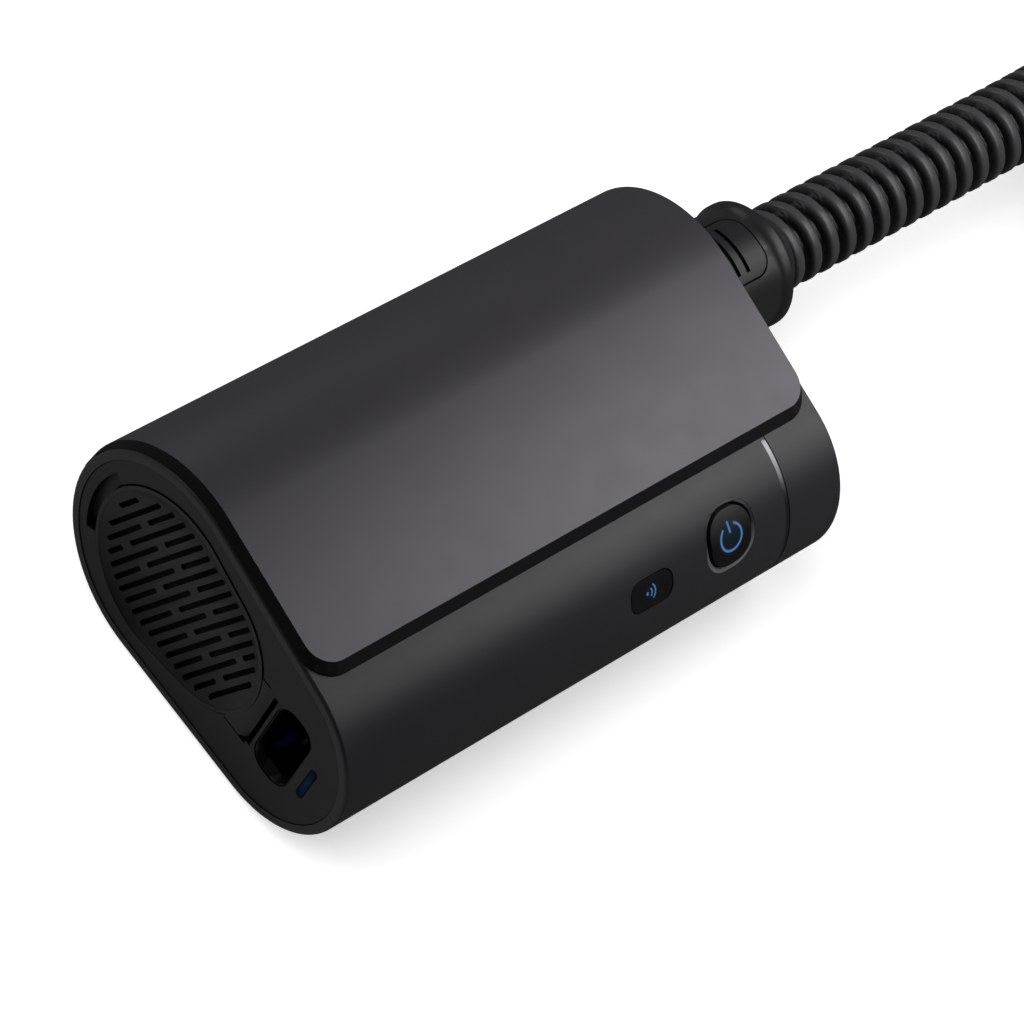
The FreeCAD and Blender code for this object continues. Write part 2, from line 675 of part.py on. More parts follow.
def make_status_light():
    """Light pipe for the mains light beside the socket."""
    pipe = rounded_bar(LIGHT_WIDTH, LIGHT_LENGTH, 0.85, 3.0)
    return facing_left(pipe, LIGHT_Y, LIGHT_Z, PLATE_FACE_X - 0.05, LIGHT_LEAN)


# ---- Buttons ----


def ring_arc(radius, stroke, start, end, depth):
    """Part of a flat ring about Z between two angles in degrees."""
    a0 = radians(start)
    a1 = radians(end)
    mid = (a0 + a1) / 2
    out = radius + stroke / 2
    inn = radius - stroke / 2

    def at(r, a):
        return V(r * cos(a), r * sin(a), 0)

    edges = [
        Part.Arc(at(out, a0), at(out, mid), at(out, a1)).toShape(),
        Part.LineSegment(at(out, a1), at(inn, a1)).toShape(),
        Part.Arc(at(inn, a1), at(inn, mid), at(inn, a0)).toShape(),
        Part.LineSegment(at(inn, a0), at(out, a0)).toShape(),
    ]
    return Part.Face(Part.Wire(edges)).extrude(V(0, 0, depth))


def make_power_bezel():
    """Cup set in the shell's opening: a moat round the power button, narrower at its floor."""
    width, height = POWER_SIZE
    sleeve = rounded_bar(width - 0.1, height - 0.1, POWER_CORNER, 6.0)
    top = 2 * MOAT_TOP + 0.1
    low = top + 2 * MOAT_TAPER
    moat = Part.makeLoft(
        [
            rounded_wire(width - low, height - low, POWER_CORNER - MOAT_TAPER, MOAT_FLOOR),
            rounded_wire(width - top, height - top, POWER_CORNER, FRONT_RADIUS + 0.4),
        ],
        True,
        True,
    )
    hole_size = [side + 2 * BUTTON_GAP for side in POWER_CAP]
    hole = rounded_bar(*hole_size, POWER_CAP_CORNER + BUTTON_GAP, 12.0)
    cup = on_front(sleeve, POWER_X, POWER_ANGLE, BEZEL_BACK).common(section_bar(-60, 60, 0.05))
    cup = cup.cut(on_front(moat, POWER_X, POWER_ANGLE, 0.0))
    return cup.cut(on_front(hole, POWER_X, POWER_ANGLE, 12.0)).removeSplitter()


def front_rod(radius):
    """Bar about the front circle's axis, which the front buttons' faces follow."""
    return rod(radius, (-60, FRONT_CENTRE[0], FRONT_CENTRE[1]), (1, 0, 0), 120)


def power_symbol():
    """Open ring and bar of the standby symbol, through the power button's face."""
    ring = ring_arc(SYMBOL_RADIUS, SYMBOL_STROKE, 118.0, 422.0, 5.0)
    bar = Part.makeBox(SYMBOL_STROKE, SYMBOL_RADIUS, 5.0, V(-SYMBOL_STROKE / 2, 0.3 * SYMBOL_RADIUS, 0))
    symbol = Part.makeCompound([ring, bar])
    symbol.rotate(V(0, 0, 0), V(0, 0, 1), SYMBOL_TURN)
    return on_front(symbol, POWER_X, POWER_ANGLE, 19.0)


def make_power_button():
    """Power button: cap with a face that follows the housing's curve, a retaining foot and a stem."""
    cap = rounded_bar(POWER_CAP[0], POWER_CAP[1], POWER_CAP_CORNER, 8.0)
    foot = rounded_bar(POWER_FOOT[0], POWER_FOOT[1], POWER_CAP_CORNER + 0.6, 1.2)
    stem = Part.makeCylinder(1.5, 4.0, V(0, 0, -3.5))
    whole = on_front(cap.fuse(foot).fuse(stem), POWER_X, POWER_ANGLE, POWER_FOOT_OUT)
    whole = whole.common(front_rod(POWER_FACE_RADIUS))
    return whole.cut(power_symbol().cut(front_rod(POWER_FACE_RADIUS - SYMBOL_DEPTH))).removeSplitter()


def make_power_light():
    """Lit standby symbol let into the power button's face."""
    inner = front_rod(POWER_FACE_RADIUS - SYMBOL_DEPTH)
    return power_symbol().common(front_rod(POWER_FACE_RADIUS)).cut(inner)


def pairing_symbol():
    """Generic radio mark: a dot with two waves beside it, through the housing's surface."""
    dot = Part.makeCylinder(0.42, 4.0, V(-1.2, 0, 0))
    waves = []
    for radius in (1.25, 2.2):
        wave = ring_arc(radius, 0.42, -48.0, 48.0, 4.0)
        wave.translate(V(-1.2, 0, 0))
        waves.append(wave)
    return on_front(Part.makeCompound([dot] + waves), PAIRING_X, PAIRING_ANGLE, 19.5)


def make_pairing_button():
    """Pairing button: a pill that follows the housing's surface, with its foot and stem."""
    width = PAIRING_SIZE[0] - 2 * BUTTON_GAP
    height = PAIRING_SIZE[1] - 2 * BUTTON_GAP
    foot_z = 16.6
    pill = rounded_bar(width, height, PAIRING_CORNER - BUTTON_GAP, 8.0)
    foot = rounded_bar(width + 2.4, height + 2.4, PAIRING_CORNER, 1.2)
    stem = Part.makeCylinder(1.3, 4.0, V(0, 0, -3.4))
    whole = on_front(pill.fuse(foot).fuse(stem), PAIRING_X, PAIRING_ANGLE, foot_z)
    whole = whole.common(section_bar(-60, 60, 0.1))
    return whole.cut(pairing_symbol().cut(section_bar(-60, 60, 0.1 + SYMBOL_DEPTH))).removeSplitter()


def make_pairing_light():
    """Lit radio mark let into the pairing button's face."""
    return pairing_symbol().common(section_bar(-60, 60, 0.1)).cut(section_bar(-60, 60, 0.1 + SYMBOL_DEPTH))


def make_button_board():
    """Small board behind the buttons, on the front circle's radius."""
    board = rounded_bar(42.0, 9.0, 1.0, 1.2)
    return on_front(board, (POWER_X + PAIRING_X) / 2, BOARD_ANGLE, BOARD_OUT - 1.2)


def make_button_switches():
    """Two tactile switches, one behind each button."""
    switches = []
    for x in (POWER_X, PAIRING_X):
        body = rounded_bar(6.0, 6.0, 0.5, 1.6).fuse(Part.makeCylinder(1.7, 2.3))
        switches.append(on_front(body, x, BOARD_ANGLE, BOARD_OUT))
    return Part.makeCompound(switches)


# ---- Foot, screws and main board ----


def make_foot_pad():
    """Soft foot pad let into the lower shell, with a rounded lower edge."""
    pad = pad_bar(0.0, PAD_THICK - 0.05, -0.1)
    low = [e for e in pad.Edges if e.BoundBox.ZMax < 1e-4]
    return pad.makeChamfer(0.35, low)


def make_case_screws():
    """Four screws that hold the shells together, under the foot pad."""
    screws = []
    for x, y in SCREW_PLACES:
        head = Part.makeCylinder(2.0, 1.4, V(x, y, 1.7))
        shank = Part.makeCylinder(SCREW_RADIUS, BOSS_TOP_Z + 8.0, V(x, y, 1.7))
        slot = box(x - 1.5, x + 1.5, y - 0.25, y + 0.25, 1.0, 2.3)
        screws.append(head.fuse(shank).cut(slot))
    return Part.makeCompound(screws)


def make_main_board():
    """Main board on its two stands in the front of the lower shell, with its larger chips."""
    board = box(-41.0, 41.0, -34.0, -19.0, 10.05, 11.6)
    for x, y in BOARD_STANDS:
        board = board.cut(rod(1.0, (x, y, 9.0), (0, 0, 1), 4.0))
    for x, width, depth, height in ((-22.0, 12.0, 9.0, 1.6), (-4.0, 7.0, 7.0, 1.2), (10.0, 6.0, 5.0, 3.0)):
        board = board.fuse(box(x, x + width, -32.0, -32.0 + depth, 11.5, 11.6 + height))
    return board.removeSplitter()


def make_pressure_sensor():
    """Pressure sensor on the main board, with its two nipples."""
    body = box(24.0, 33.0, -31.0, -22.0, 11.6, 15.6)
    for y in (-28.5, -24.5):
        body = body.fuse(Part.makeCylinder(1.0, 4.0, V(28.5, y, 15.5)))
    return body.removeSplitter()


# ---- Blower ----


def scroll_bar(z0, z1, inset, outlet_x):
    """The scroll's plan between two heights: arcs that widen as the air turns, and the outlet."""

    def at(angle, radius):
        a = radians(angle)
        return V(BLOWER_X + radius * cos(a), BLOWER_Y + radius * sin(a), z0)

    def reach(angle):
        return SCROLL_START - inset + SCROLL_GROWTH * angle / 270.0

    top = BLOWER_Y + reach(270.0)
    low = top - SCROLL_OUTLET_WIDTH + 2 * inset
    tongue = degrees(atan2(low - BLOWER_Y, sqrt(reach(0.0) ** 2 - (low - BLOWER_Y) ** 2)))
    edges = []
    for start in (0.0, 90.0, 180.0):
        points = [at(-a, reach(a)) for a in (start, start + 45.0, start + 90.0)]
        edges.append(Part.Arc(*points).toShape())
    path = [at(-270.0, reach(270.0)), V(outlet_x, top, z0), V(outlet_x, low, z0), at(tongue, reach(0.0))]
    for a, b in zip(path, path[1:]):
        edges.append(Part.LineSegment(a, b).toShape())
    edges.append(Part.Arc(path[-1], at(tongue / 2, reach(0.0)), at(0.0, reach(0.0))).toShape())
    return Part.Face(Part.Wire(edges)).extrude(V(0, 0, z1 - z0))


def blower_case():
    """The whole scroll case, hollow, with its outlet spigot and its three mounting ears."""
    half = SCROLL_HEIGHT / 2
    low = BLOWER_Z - half
    case = scroll_bar(low, BLOWER_Z + half, 0.0, SCROLL_OUTLET_X)
    case = case.fuse(rod(6.5, (SCROLL_OUTLET_X - 1, OUTLET_Y, BLOWER_Z), (1, 0, 0), 8.0))
    for x, y in POST_PLACES:
        case = case.fuse(Part.makeCylinder(4.4, 3.0, V(x, y, low)))
    eye_guide = Part.makeCone(EYE_RADIUS + 3.2, EYE_RADIUS + 1.6, 2.0, V(BLOWER_X, BLOWER_Y, low - 1.5))
    case = case.fuse(eye_guide)
    wall = SCROLL_WALL
    case = case.cut(scroll_bar(low + wall, BLOWER_Z + half - wall, wall, SCROLL_OUTLET_X - wall))
    case = case.cut(rod(5.3, (SCROLL_OUTLET_X - 4, OUTLET_Y, BLOWER_Z), (1, 0, 0), 12.0))
    case = case.cut(Part.makeCylinder(EYE_RADIUS, 8.0, V(BLOWER_X, BLOWER_Y, low - 5.0)))
    motor_place = V(BLOWER_X, BLOWER_Y, BLOWER_Z + half - 4.0)
    case = case.cut(Part.makeCylinder(MOTOR_RADIUS + 0.1, 8.0, motor_place))
    for x, y in POST_PLACES:
        case = case.cut(Part.makeCylinder(3.0, 6.0, V(x, y, low - 1.0)))
    return case


def make_blower_lower():
    """Lower half of the scroll case, with the inlet eye and the ears."""
    return blower_case().common(box(-40, 40, -30, 40, 0, BLOWER_Z)).removeSplitter()


def make_blower_upper():
    """Upper half of the scroll case, open for the motor."""
    return blower_case().common(box(-40, 40, -30, 40, BLOWER_Z + 0.05, 60)).removeSplitter()


def blade_bar(z0, z1):
    """One backward-swept blade in plan, thicker than a line by its two arcs."""
    root, middle, tip = (6.2, 0.0), (10.4, 17.0), (WHEEL_RADIUS - 0.3, 44.0)
    half = 0.45

    def at(point, side):
        radius, angle = point
        a = radians(angle) + side * half / radius
        return V(BLOWER_X + radius * cos(a), BLOWER_Y + radius * sin(a), z0)

    edges = [
        Part.Arc(at(root, -1), at(middle, -1), at(tip, -1)).toShape(),
        Part.LineSegment(at(tip, -1), at(tip, 1)).toShape(),
        Part.Arc(at(tip, 1), at(middle, 1), at(root, 1)).toShape(),
        Part.LineSegment(at(root, 1), at(root, -1)).toShape(),
    ]
    return Part.Face(Part.Wire(edges)).extrude(V(0, 0, z1 - z0))


def turned(points, centre, axis=V(0, 0, 1)):
    """Solid of revolution of a closed outline about an axis through centre."""
    face = Part.Face(Part.makePolygon(points + points[:1]))
    return face.revolve(centre, axis, 360)


def about_blower(outline):
    """Turn an outline of (radius, height) points about the blower's shaft."""
    centre = V(BLOWER_X, BLOWER_Y, 0)
    return turned([V(BLOWER_X + r, BLOWER_Y, z) for r, z in outline], centre)


def make_impeller():
    """Impeller: hub, back plate and backward-swept blades that get lower towards the rim."""
    plate_z = 27.6
    eye_z = 19.8
    rim_z = 22.2
    wheel = about_blower(
        [
            (SHAFT_RADIUS, 24.2),
            (2.6, 24.0),
            (4.6, 26.4),
            (6.4, plate_z - 0.2),
            (WHEEL_RADIUS, plate_z),
            (WHEEL_RADIUS, plate_z + 1.0),
            (3.4, plate_z + 1.0),
            (3.4, 30.2),
            (SHAFT_RADIUS, 30.2),
        ]
    )
    root_z = plate_z + 0.3
    envelope = about_blower(
        [
            (5.0, eye_z),
            (7.6, eye_z),
            (WHEEL_RADIUS, rim_z),
            (WHEEL_RADIUS, root_z),
            (5.0, root_z),
        ]
    )
    blade = blade_bar(eye_z, root_z).common(envelope)
    for step in range(BLADES):
        each = blade.copy()
        each.rotate(V(BLOWER_X, BLOWER_Y, 0), V(0, 0, 1), 360.0 / BLADES * step)
        wheel = wheel.fuse(each)
    return wheel.removeSplitter()


def make_impeller_shaft():
    """Steel shaft through the impeller, the rotor and both bearings."""
    return Part.makeCylinder(SHAFT_RADIUS, 17.2, V(BLOWER_X, BLOWER_Y, 24.4))


def make_motor_rotor():
    """Magnet rotor on the shaft."""
    return about_blower([(SHAFT_RADIUS, 34.3), (5.4, 34.3), (5.4, 38.2), (SHAFT_RADIUS, 38.2)])


def make_motor_case():
    """Motor case let into the scroll's top: stator ring, bearing seats and a ribbed cap."""
    return about_blower(
        [
            (2.2, 31.2),
            (MOTOR_RADIUS, 31.2),
            (MOTOR_RADIUS, 35.6),
            (MOTOR_RADIUS + 1.4, 35.6),
            (MOTOR_RADIUS + 1.4, 36.8),
            (MOTOR_RADIUS - 0.4, 36.8),
            (MOTOR_RADIUS - 0.4, 41.4),
            (MOTOR_RADIUS - 1.6, 42.6),
            (2.2, 42.6),
            (2.2, 41.6),
            (4.0, 41.6),
            (4.0, 39.4),
            (6.0, 39.4),
            (6.0, 33.6),
            (4.0, 33.6),
            (4.0, 31.8),
            (2.2, 31.8),
        ]
    )


def make_shaft_bearings():
    """Two bearings that carry the shaft in the motor case."""
    inner = SHAFT_RADIUS + SHAFT_CLEARANCE
    rings = [
        about_blower([(inner, z0), (3.98, z0), (3.98, z1), (inner, z1)])
        for z0, z1 in ((31.82, 33.5), (39.5, 41.58))
    ]
    return Part.makeCompound(rings)


def make_blower_mounts():
    """Three rubber bushes between the blower's ears and the shell's posts."""
    low = BLOWER_Z - SCROLL_HEIGHT / 2
    bushes = []
    for x, y in POST_PLACES:
        outline = [
            (1.45, 15.0),
            (4.0, 15.0),
            (4.0, low - 0.05),
            (2.95, low - 0.05),
            (2.95, low + 3.4),
            (1.45, low + 3.4),
        ]
        points = [V(x + r, y, z) for r, z in outline]
        bushes.append(turned(points, V(x, y, 0)))
    return Part.makeCompound(bushes)


# ---- Outlet ----


def about_outlet(outline):
    """Turn an outline of (x, radius) points about the outlet's axis."""
    points = [V(x, OUTLET_Y, OUTLET_Z + r) for x, r in outline]
    return turned(points, V(0, OUTLET_Y, OUTLET_Z), V(1, 0, 0))


def make_outlet_duct():
    """Soft bellows between the blower's spigot and the outlet nozzle."""
    outer = [(23.2, 7.9), (29.5, 7.9)]
    inner = [(23.2, 6.55), (29.5, 6.55)]
    for fold in range(3):
        x = 30.6 + 4.0 * fold
        outer += [(x + 1.3, 10.4), (x + 2.9, 8.8)]
        inner += [(x + 1.3, 9.1), (x + 2.9, 7.5)]
    outer += [(43.2, 9.9), (50.0, 9.9)]
    inner += [(43.2, 8.55), (50.0, 8.55)]
    return about_outlet(outer + inner[::-1])


def make_outlet_port():
    """Outlet port: the nozzle, and the cup round it that takes the hose connector."""
    cup = RIGHT_X - CUP_DEPTH
    return about_outlet(
        [
            (44.5, NOZZLE_BORE),
            (44.5, NOZZLE_RADIUS - 0.3),
            (45.2, NOZZLE_RADIUS),
            (cup - 2.0, NOZZLE_RADIUS),
            (cup - 2.0, CUP_RADIUS + 1.4),
            (RIGHT_X - 0.05, CUP_RADIUS + 1.4),
            (RIGHT_X - 0.05, CUP_RADIUS + 0.5),
            (RIGHT_X - 0.6, CUP_RADIUS),
            (cup, CUP_RADIUS),
            (cup, NOZZLE_RADIUS),
            (RIGHT_X - 2.0, NOZZLE_RADIUS),
            (RIGHT_X - 1.2, NOZZLE_RADIUS - 0.8),
            (RIGHT_X - 1.2, NOZZLE_BORE),
        ]
    )


def make_outlet_seal():
    """Seal ring on the nozzle, inside the hose connector, with a six-sided section."""
    low = NOZZLE_RADIUS + 0.03
    middle = low + 0.65
    high = low + 1.3
    return about_outlet(
        [
            (62.1, low),
            (61.8, middle),
            (62.1, high),
            (62.9, high),
            (63.2, middle),
            (62.9, low),
        ]
    )


# ---- Hose connector with its two release buttons ----


def release_bar(grow, out0, out1):
    """The release button's outline as an upright bar over the connector's axis."""
    width = RELEASE_X[1] - RELEASE_X[0] + 2 * grow
    height = 2 * CONNECTOR_RADIUS * sin(radians(RELEASE_HALF_ANGLE)) + 2 * grow
    bar = rounded_bar(width, height, RELEASE_CORNER + grow, out1 - out0)
    bar.translate(V((RELEASE_X[0] + RELEASE_X[1]) / 2, OUTLET_Y, OUTLET_Z + out0))
    return bar


def below(shape):
    """The same shape turned half round the outlet's axis, to the connector's underside."""
    turned_shape = shape.copy()
    turned_shape.rotate(V(0, OUTLET_Y, OUTLET_Z), V(1, 0, 0), 180)
    return turned_shape


def make_hose_connector():
    """Connector body: sleeve in the outlet cup, flared flange, and two release windows."""
    body = about_outlet(
        [
            (CONNECTOR_START_X, 9.9),
            (CONNECTOR_START_X, CONNECTOR_RADIUS - 0.6),
            (CONNECTOR_START_X + 0.6, CONNECTOR_RADIUS),
            (FLANGE_X - 4.0, CONNECTOR_RADIUS),
            (FLANGE_X - 2.0, FLANGE_RADIUS),
            (FLANGE_X - 0.6, FLANGE_RADIUS),
            (FLANGE_X, FLANGE_RADIUS - 0.7),
            (FLANGE_X, 7.5),
            (73.0, 7.5),
            (73.0, 9.9),
        ]
    )
    floor = rod(CONNECTOR_RADIUS - RELEASE_POCKET, (60.0, OUTLET_Y, OUTLET_Z), (1, 0, 0), 40.0)
    pocket = release_bar(0.0, 2.0, 20.0).cut(floor)
    return body.cut(pocket).cut(below(pocket)).removeSplitter()


def make_release_upper():
    """Upper release button: a curved panel with two grip slots."""
    start = (RELEASE_X[0] - 2.0, OUTLET_Y, OUTLET_Z)
    length = RELEASE_X[1] - RELEASE_X[0] + 4.0
    tube = rod(CONNECTOR_RADIUS + 0.02, start, (1, 0, 0), length)
    tube = tube.cut(rod(CONNECTOR_RADIUS - RELEASE_THICK, start, (1, 0, 0), length))
    panel = tube.common(release_bar(-RELEASE_GAP, 2.0, 20.0))
    for x in RELEASE_SLOTS:
        height = 2 * CONNECTOR_RADIUS * sin(radians(25.5))
        cutter = box(x - 0.5, x + 0.5, OUTLET_Y - height / 2, OUTLET_Y + height / 2, OUTLET_Z, 60.0)
        ring = rod(CONNECTOR_RADIUS + 1.0, start, (1, 0, 0), length)
        ring = ring.cut(rod(CONNECTOR_RADIUS - 0.8, start, (1, 0, 0), length))
        panel = panel.cut(cutter.common(ring))
    return panel.removeSplitter()


def make_release_lower():
    """Lower release button, the same half round the connector."""
    return below(make_release_upper())


def make_hose_collar():
    """Collar that binds the hose to the connector."""
    return about_outlet(
        [
            (FLANGE_X, 7.6),
            (FLANGE_X, 12.0),
            (FLANGE_X + 2.0, 11.8),
            (COLLAR_END_X - 0.6, 10.0),
            (COLLAR_END_X, 9.6),
            (COLLAR_END_X, 7.6),
        ]
    )


# ---- Hose ----


def rounded_route(points, share=0.45):
    """Straight runs joined by tangent arcs, each as large as its shorter run allows."""
    corners = [V(*p) for p in points]
    edges = []
    radii = []
    start = corners[0]
    for before, corner, after in zip(corners, corners[1:], corners[2:]):
        arrive = (corner - before).normalize()
        leave = (after - corner).normalize()
        turn = arrive.getAngle(leave)
        cut = share * min(corner.distanceToPoint(before), corner.distanceToPoint(after))
        radius = cut / tan(turn / 2)
        enter = corner - arrive * cut
        depart = corner + leave * cut
        inward = (leave - arrive).normalize()
        middle = corner + inward * (radius / cos(turn / 2) - radius)
        edges.append(Part.LineSegment(start, enter).toShape())
        edges.append(Part.Arc(enter, middle, depart).toShape())
        radii.append(round(radius, 1))
        start = depart
    edges.append(Part.LineSegment(start, corners[-1]).toShape())
    return Part.Wire(edges), radii


def make_hose():
    """Hose from the collar to the coil, as a plain tube of its outer diameter."""
    path, radii = rounded_route(ROUTE)
    ring = Part.makeCircle(HOSE_DIAMETER / 2, V(*ROUTE[0]), V(1, 0, 0))
    hose = path.makePipe(Part.Face(Part.Wire([ring])))
    expected = pi * (HOSE_DIAMETER / 2) ** 2 * path.Length
    filled = round(hose.Volume / expected, 4)
    print("hose arc radii", radii, "length", round(path.Length, 1), "volume ratio", filled)
    return hose


def coil_centre():
    """Centre of the coil on the floor, from where the hose runs into it."""
    start = radians(COIL_START_ANGLE)
    return V(ROUTE[-1][0] - COIL_RADIUS * cos(start), ROUTE[-1][1] - COIL_RADIUS * sin(start), 0)


def coil_frame(turns):
    """Place on the coil after some turns, clockwise from above: X runs on along the hose, Y outwards."""
    angle = COIL_START_ANGLE - 360.0 * turns
    out = V(cos(radians(angle)), sin(radians(angle)), 0)
    turn = FreeCAD.Rotation(V(0, 0, 1), angle - 90.0)
    return FreeCAD.Placement(coil_centre() + out * COIL_RADIUS, turn)


def make_hose_coil():
    """Outer shape of the coiled length: a ring, part of it one turn higher, with room for both ends."""
    half = HOSE_DIAMETER / 2
    floor = HOSE_REST_Z - half
    base = coil_centre() + V(0, 0, floor)
    height = 2 * COIL_RISE + HOSE_DIAMETER
    full = CUFF_Z + half - floor
    sweep = 360.0 * (COIL_TURNS - 2)
    ring = Part.makeCylinder(COIL_RADIUS + half, height, base)
    top = Part.makeCylinder(COIL_RADIUS + half, full, base, V(0, 0, 1), sweep)
    top.rotate(base, V(0, 0, 1), COIL_START_ANGLE - sweep)
    coil = ring.fuse(top).cut(Part.makeCylinder(COIL_RADIUS - half, full, base))

    low = HOSE_REST_Z + half + 0.3
    slope = [(0, -1), (0, low), (-19, low), (-35, low + 2.5), (-75, low + 17.0), (-75, -1)]
    corners = [V(x, -half - 0.3, z) for x, z in slope]
    corridor = Part.Face(Part.makePolygon(corners + corners[:1])).extrude(V(0, HOSE_DIAMETER + 0.6, 0))
    corridor.Placement = coil_frame(0.0)
    cuff = box(0.0, CUFF_LENGTH + 30.0, -15.0, 15.0, CUFF_Z - 14.0, 100.0)
    cuff.Placement = coil_frame(COIL_TURNS)
    return coil.cut(corridor).cut(cuff).removeSplitter()


def make_mask_end_cuff():
    """Cuff at the hose's far end: grip ribs outside and the mask's push-fit bore inside."""
    outline = [
        (0.0, 7.6),
        (0.0, 10.2),
        (3.0, 10.6),
        (9.0, CUFF_RADIUS - 0.8),
        (12.0, CUFF_RADIUS - 0.8),
        (12.0, CUFF_RADIUS),
        (16.0, CUFF_RADIUS),
    ]
    for rib in range(3):
        x = 19.0 + 4.5 * rib
        outline += [(x - 1.5, CUFF_RADIUS - 0.5), (x, CUFF_RADIUS), (x + 1.5, CUFF_RADIUS)]
    outline += [
        (CUFF_LENGTH - 3.0, CUFF_RADIUS - 0.6),
        (CUFF_LENGTH, CUFF_RADIUS - 1.0),
        (CUFF_LENGTH, CUFF_BORE),
        (CUFF_LENGTH - CUFF_BORE_LENGTH, CUFF_BORE),
        (CUFF_LENGTH - CUFF_BORE_LENGTH, 7.6),
    ]
    points = [V(x, 0, CUFF_Z + r) for x, r in outline]
    cuff = turned(points, V(0, 0, CUFF_Z), V(1, 0, 0))
    place = coil_frame(COIL_TURNS)
    cuff.Placement = place
    open_end = place.multVec(V(CUFF_LENGTH - CUFF_BORE_LENGTH / 2, 0, CUFF_Z))
    print("mask bore middle", open_end, "heading", place.Rotation.multVec(V(1, 0, 0)))
    return cuff


MAKERS = {
    "lower_shell": make_lower_shell,
    "upper_shell": make_upper_shell,
    "outlet_end_cap": make_outlet_end_cap,
    "seam_trim": make_seam_trim,
    "top_cover": make_top_cover,
    "cover_frame": make_cover_frame,
    "foot_pad": make_foot_pad,
    "case_screws": make_case_screws,
    "inlet_end_plate": make_inlet_end_plate,
    "filter_cover": make_filter_cover,
    "air_filter": make_air_filter,
    "inlet_foam": make_inlet_foam,
    "power_socket": make_power_socket,
    "socket_contacts": make_socket_contacts,
    "status_light": make_status_light,
    "power_bezel": make_power_bezel,
    "power_button": make_power_button,
    "power_light": make_power_light,
    "pairing_button": make_pairing_button,
    "pairing_light": make_pairing_light,
    "button_board": make_button_board,
    "button_switches": make_button_switches,
    "main_board": make_main_board,
    "pressure_sensor": make_pressure_sensor,
    "blower_lower": make_blower_lower,
    "blower_upper": make_blower_upper,
    "impeller": make_impeller,
    "impeller_shaft": make_impeller_shaft,
    "motor_rotor": make_motor_rotor,
    "motor_case": make_motor_case,
    "shaft_bearings": make_shaft_bearings,
    "blower_mounts": make_blower_mounts,
    "outlet_duct": make_outlet_duct,
    "outlet_port": make_outlet_port,
    "outlet_seal": make_outlet_seal,
    "hose_connector": make_hose_connector,
    "release_upper": make_release_upper,
    "release_lower": make_release_lower,
    "hose_collar": make_hose_collar,
    "hose": make_hose,
    "hose_coil": make_hose_coil,
    "mask_end_cuff": make_mask_end_cuff,
}


def main():
    """Make every node and write it to its STEP file."""
    os.makedirs("parts", exist_ok=True)
    for name, maker in MAKERS.items():
        shape = maker()
        sound = "sound" if shape.isValid() else "NOT VALID"
        print(name, sound, len(shape.Solids), "solids", round(shape.Volume, 1), "mm3")
        shape.exportStep(f"parts/{name}.step")


main()
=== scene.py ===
import json
import math

import bmesh
import bpy
import numpy as np
from mathutils import Matrix, Vector


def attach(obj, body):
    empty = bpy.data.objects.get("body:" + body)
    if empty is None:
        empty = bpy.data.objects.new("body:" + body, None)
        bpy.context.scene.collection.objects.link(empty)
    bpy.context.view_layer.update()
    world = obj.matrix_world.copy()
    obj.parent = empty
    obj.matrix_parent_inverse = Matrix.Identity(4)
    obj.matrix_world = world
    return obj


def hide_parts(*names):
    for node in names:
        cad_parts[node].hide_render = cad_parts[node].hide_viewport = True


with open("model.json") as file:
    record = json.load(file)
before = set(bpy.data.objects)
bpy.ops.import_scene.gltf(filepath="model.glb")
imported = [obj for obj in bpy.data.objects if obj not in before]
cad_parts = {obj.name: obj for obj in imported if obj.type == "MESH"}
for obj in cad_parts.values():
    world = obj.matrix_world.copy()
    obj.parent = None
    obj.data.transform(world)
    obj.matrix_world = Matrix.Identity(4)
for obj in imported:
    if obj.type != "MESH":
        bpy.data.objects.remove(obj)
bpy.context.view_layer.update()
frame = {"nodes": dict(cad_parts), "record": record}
MM = 0.001

# %% [markdown]
# ## The camera
# A long lens looks down on the buttons' side from the filter end. The camera is rolled as well, so
# no upright axis gives its turn, and its three directions are written out as its matrix's columns.
# %% Place the camera
LENS = 168.75
SENSOR = 36.0
CAMERA_PLACE = (-0.55144, -0.21203, 0.76891)
camera_data = bpy.data.cameras.new("camera")
camera_data.lens = LENS
camera_data.sensor_width = SENSOR
camera_data.clip_start = 0.05
camera = bpy.data.objects.new("camera", camera_data)
bpy.context.scene.collection.objects.link(camera)
camera_right = Vector((0.70829, -0.60452, 0.36453))
camera_up = Vector((0.39335, 0.76677, 0.50729))
camera_back = -Vector((0.58617, 0.21592, -0.78088))
turned = Matrix((camera_right, camera_up, camera_back)).transposed()
camera.matrix_world = Matrix.Translation(CAMERA_PLACE) @ turned.to_4x4()
bpy.context.scene.camera = camera
print("camera stands", round(camera.location.length, 3), "m away")

# %% [markdown]
# ## Building surfaces from whole arrays
# A curved piece is a grid of points, worked out as one array. The helper joins neighbouring
# points into four-sided faces and closes the grid round or along where it should be closed.
# %% Helper: a grid of points as a mesh
BODY = "machine"


def add_piece(name, mesh, body, replaced=()):
    """Put a mesh into the scene, tie it to a body and say which CAD nodes it stands for."""
    piece = bpy.data.objects.new(name, mesh)
    bpy.context.scene.collection.objects.link(piece)
    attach(piece, body)
    if replaced:
        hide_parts(*replaced)
    return piece


def grid_faces(rows, columns, ring):
    """Faces of a (rows, columns) grid: (i, j) joins its neighbours in the next row and column."""
    index = np.arange(rows * columns).reshape(rows, columns)
    right = np.roll(index, -1, axis=1) if ring else index[:, 1:]
    here = index if ring else index[:, :-1]
    return np.stack([here[:-1], right[:-1], right[1:], here[1:]], axis=-1).reshape(-1, 4)


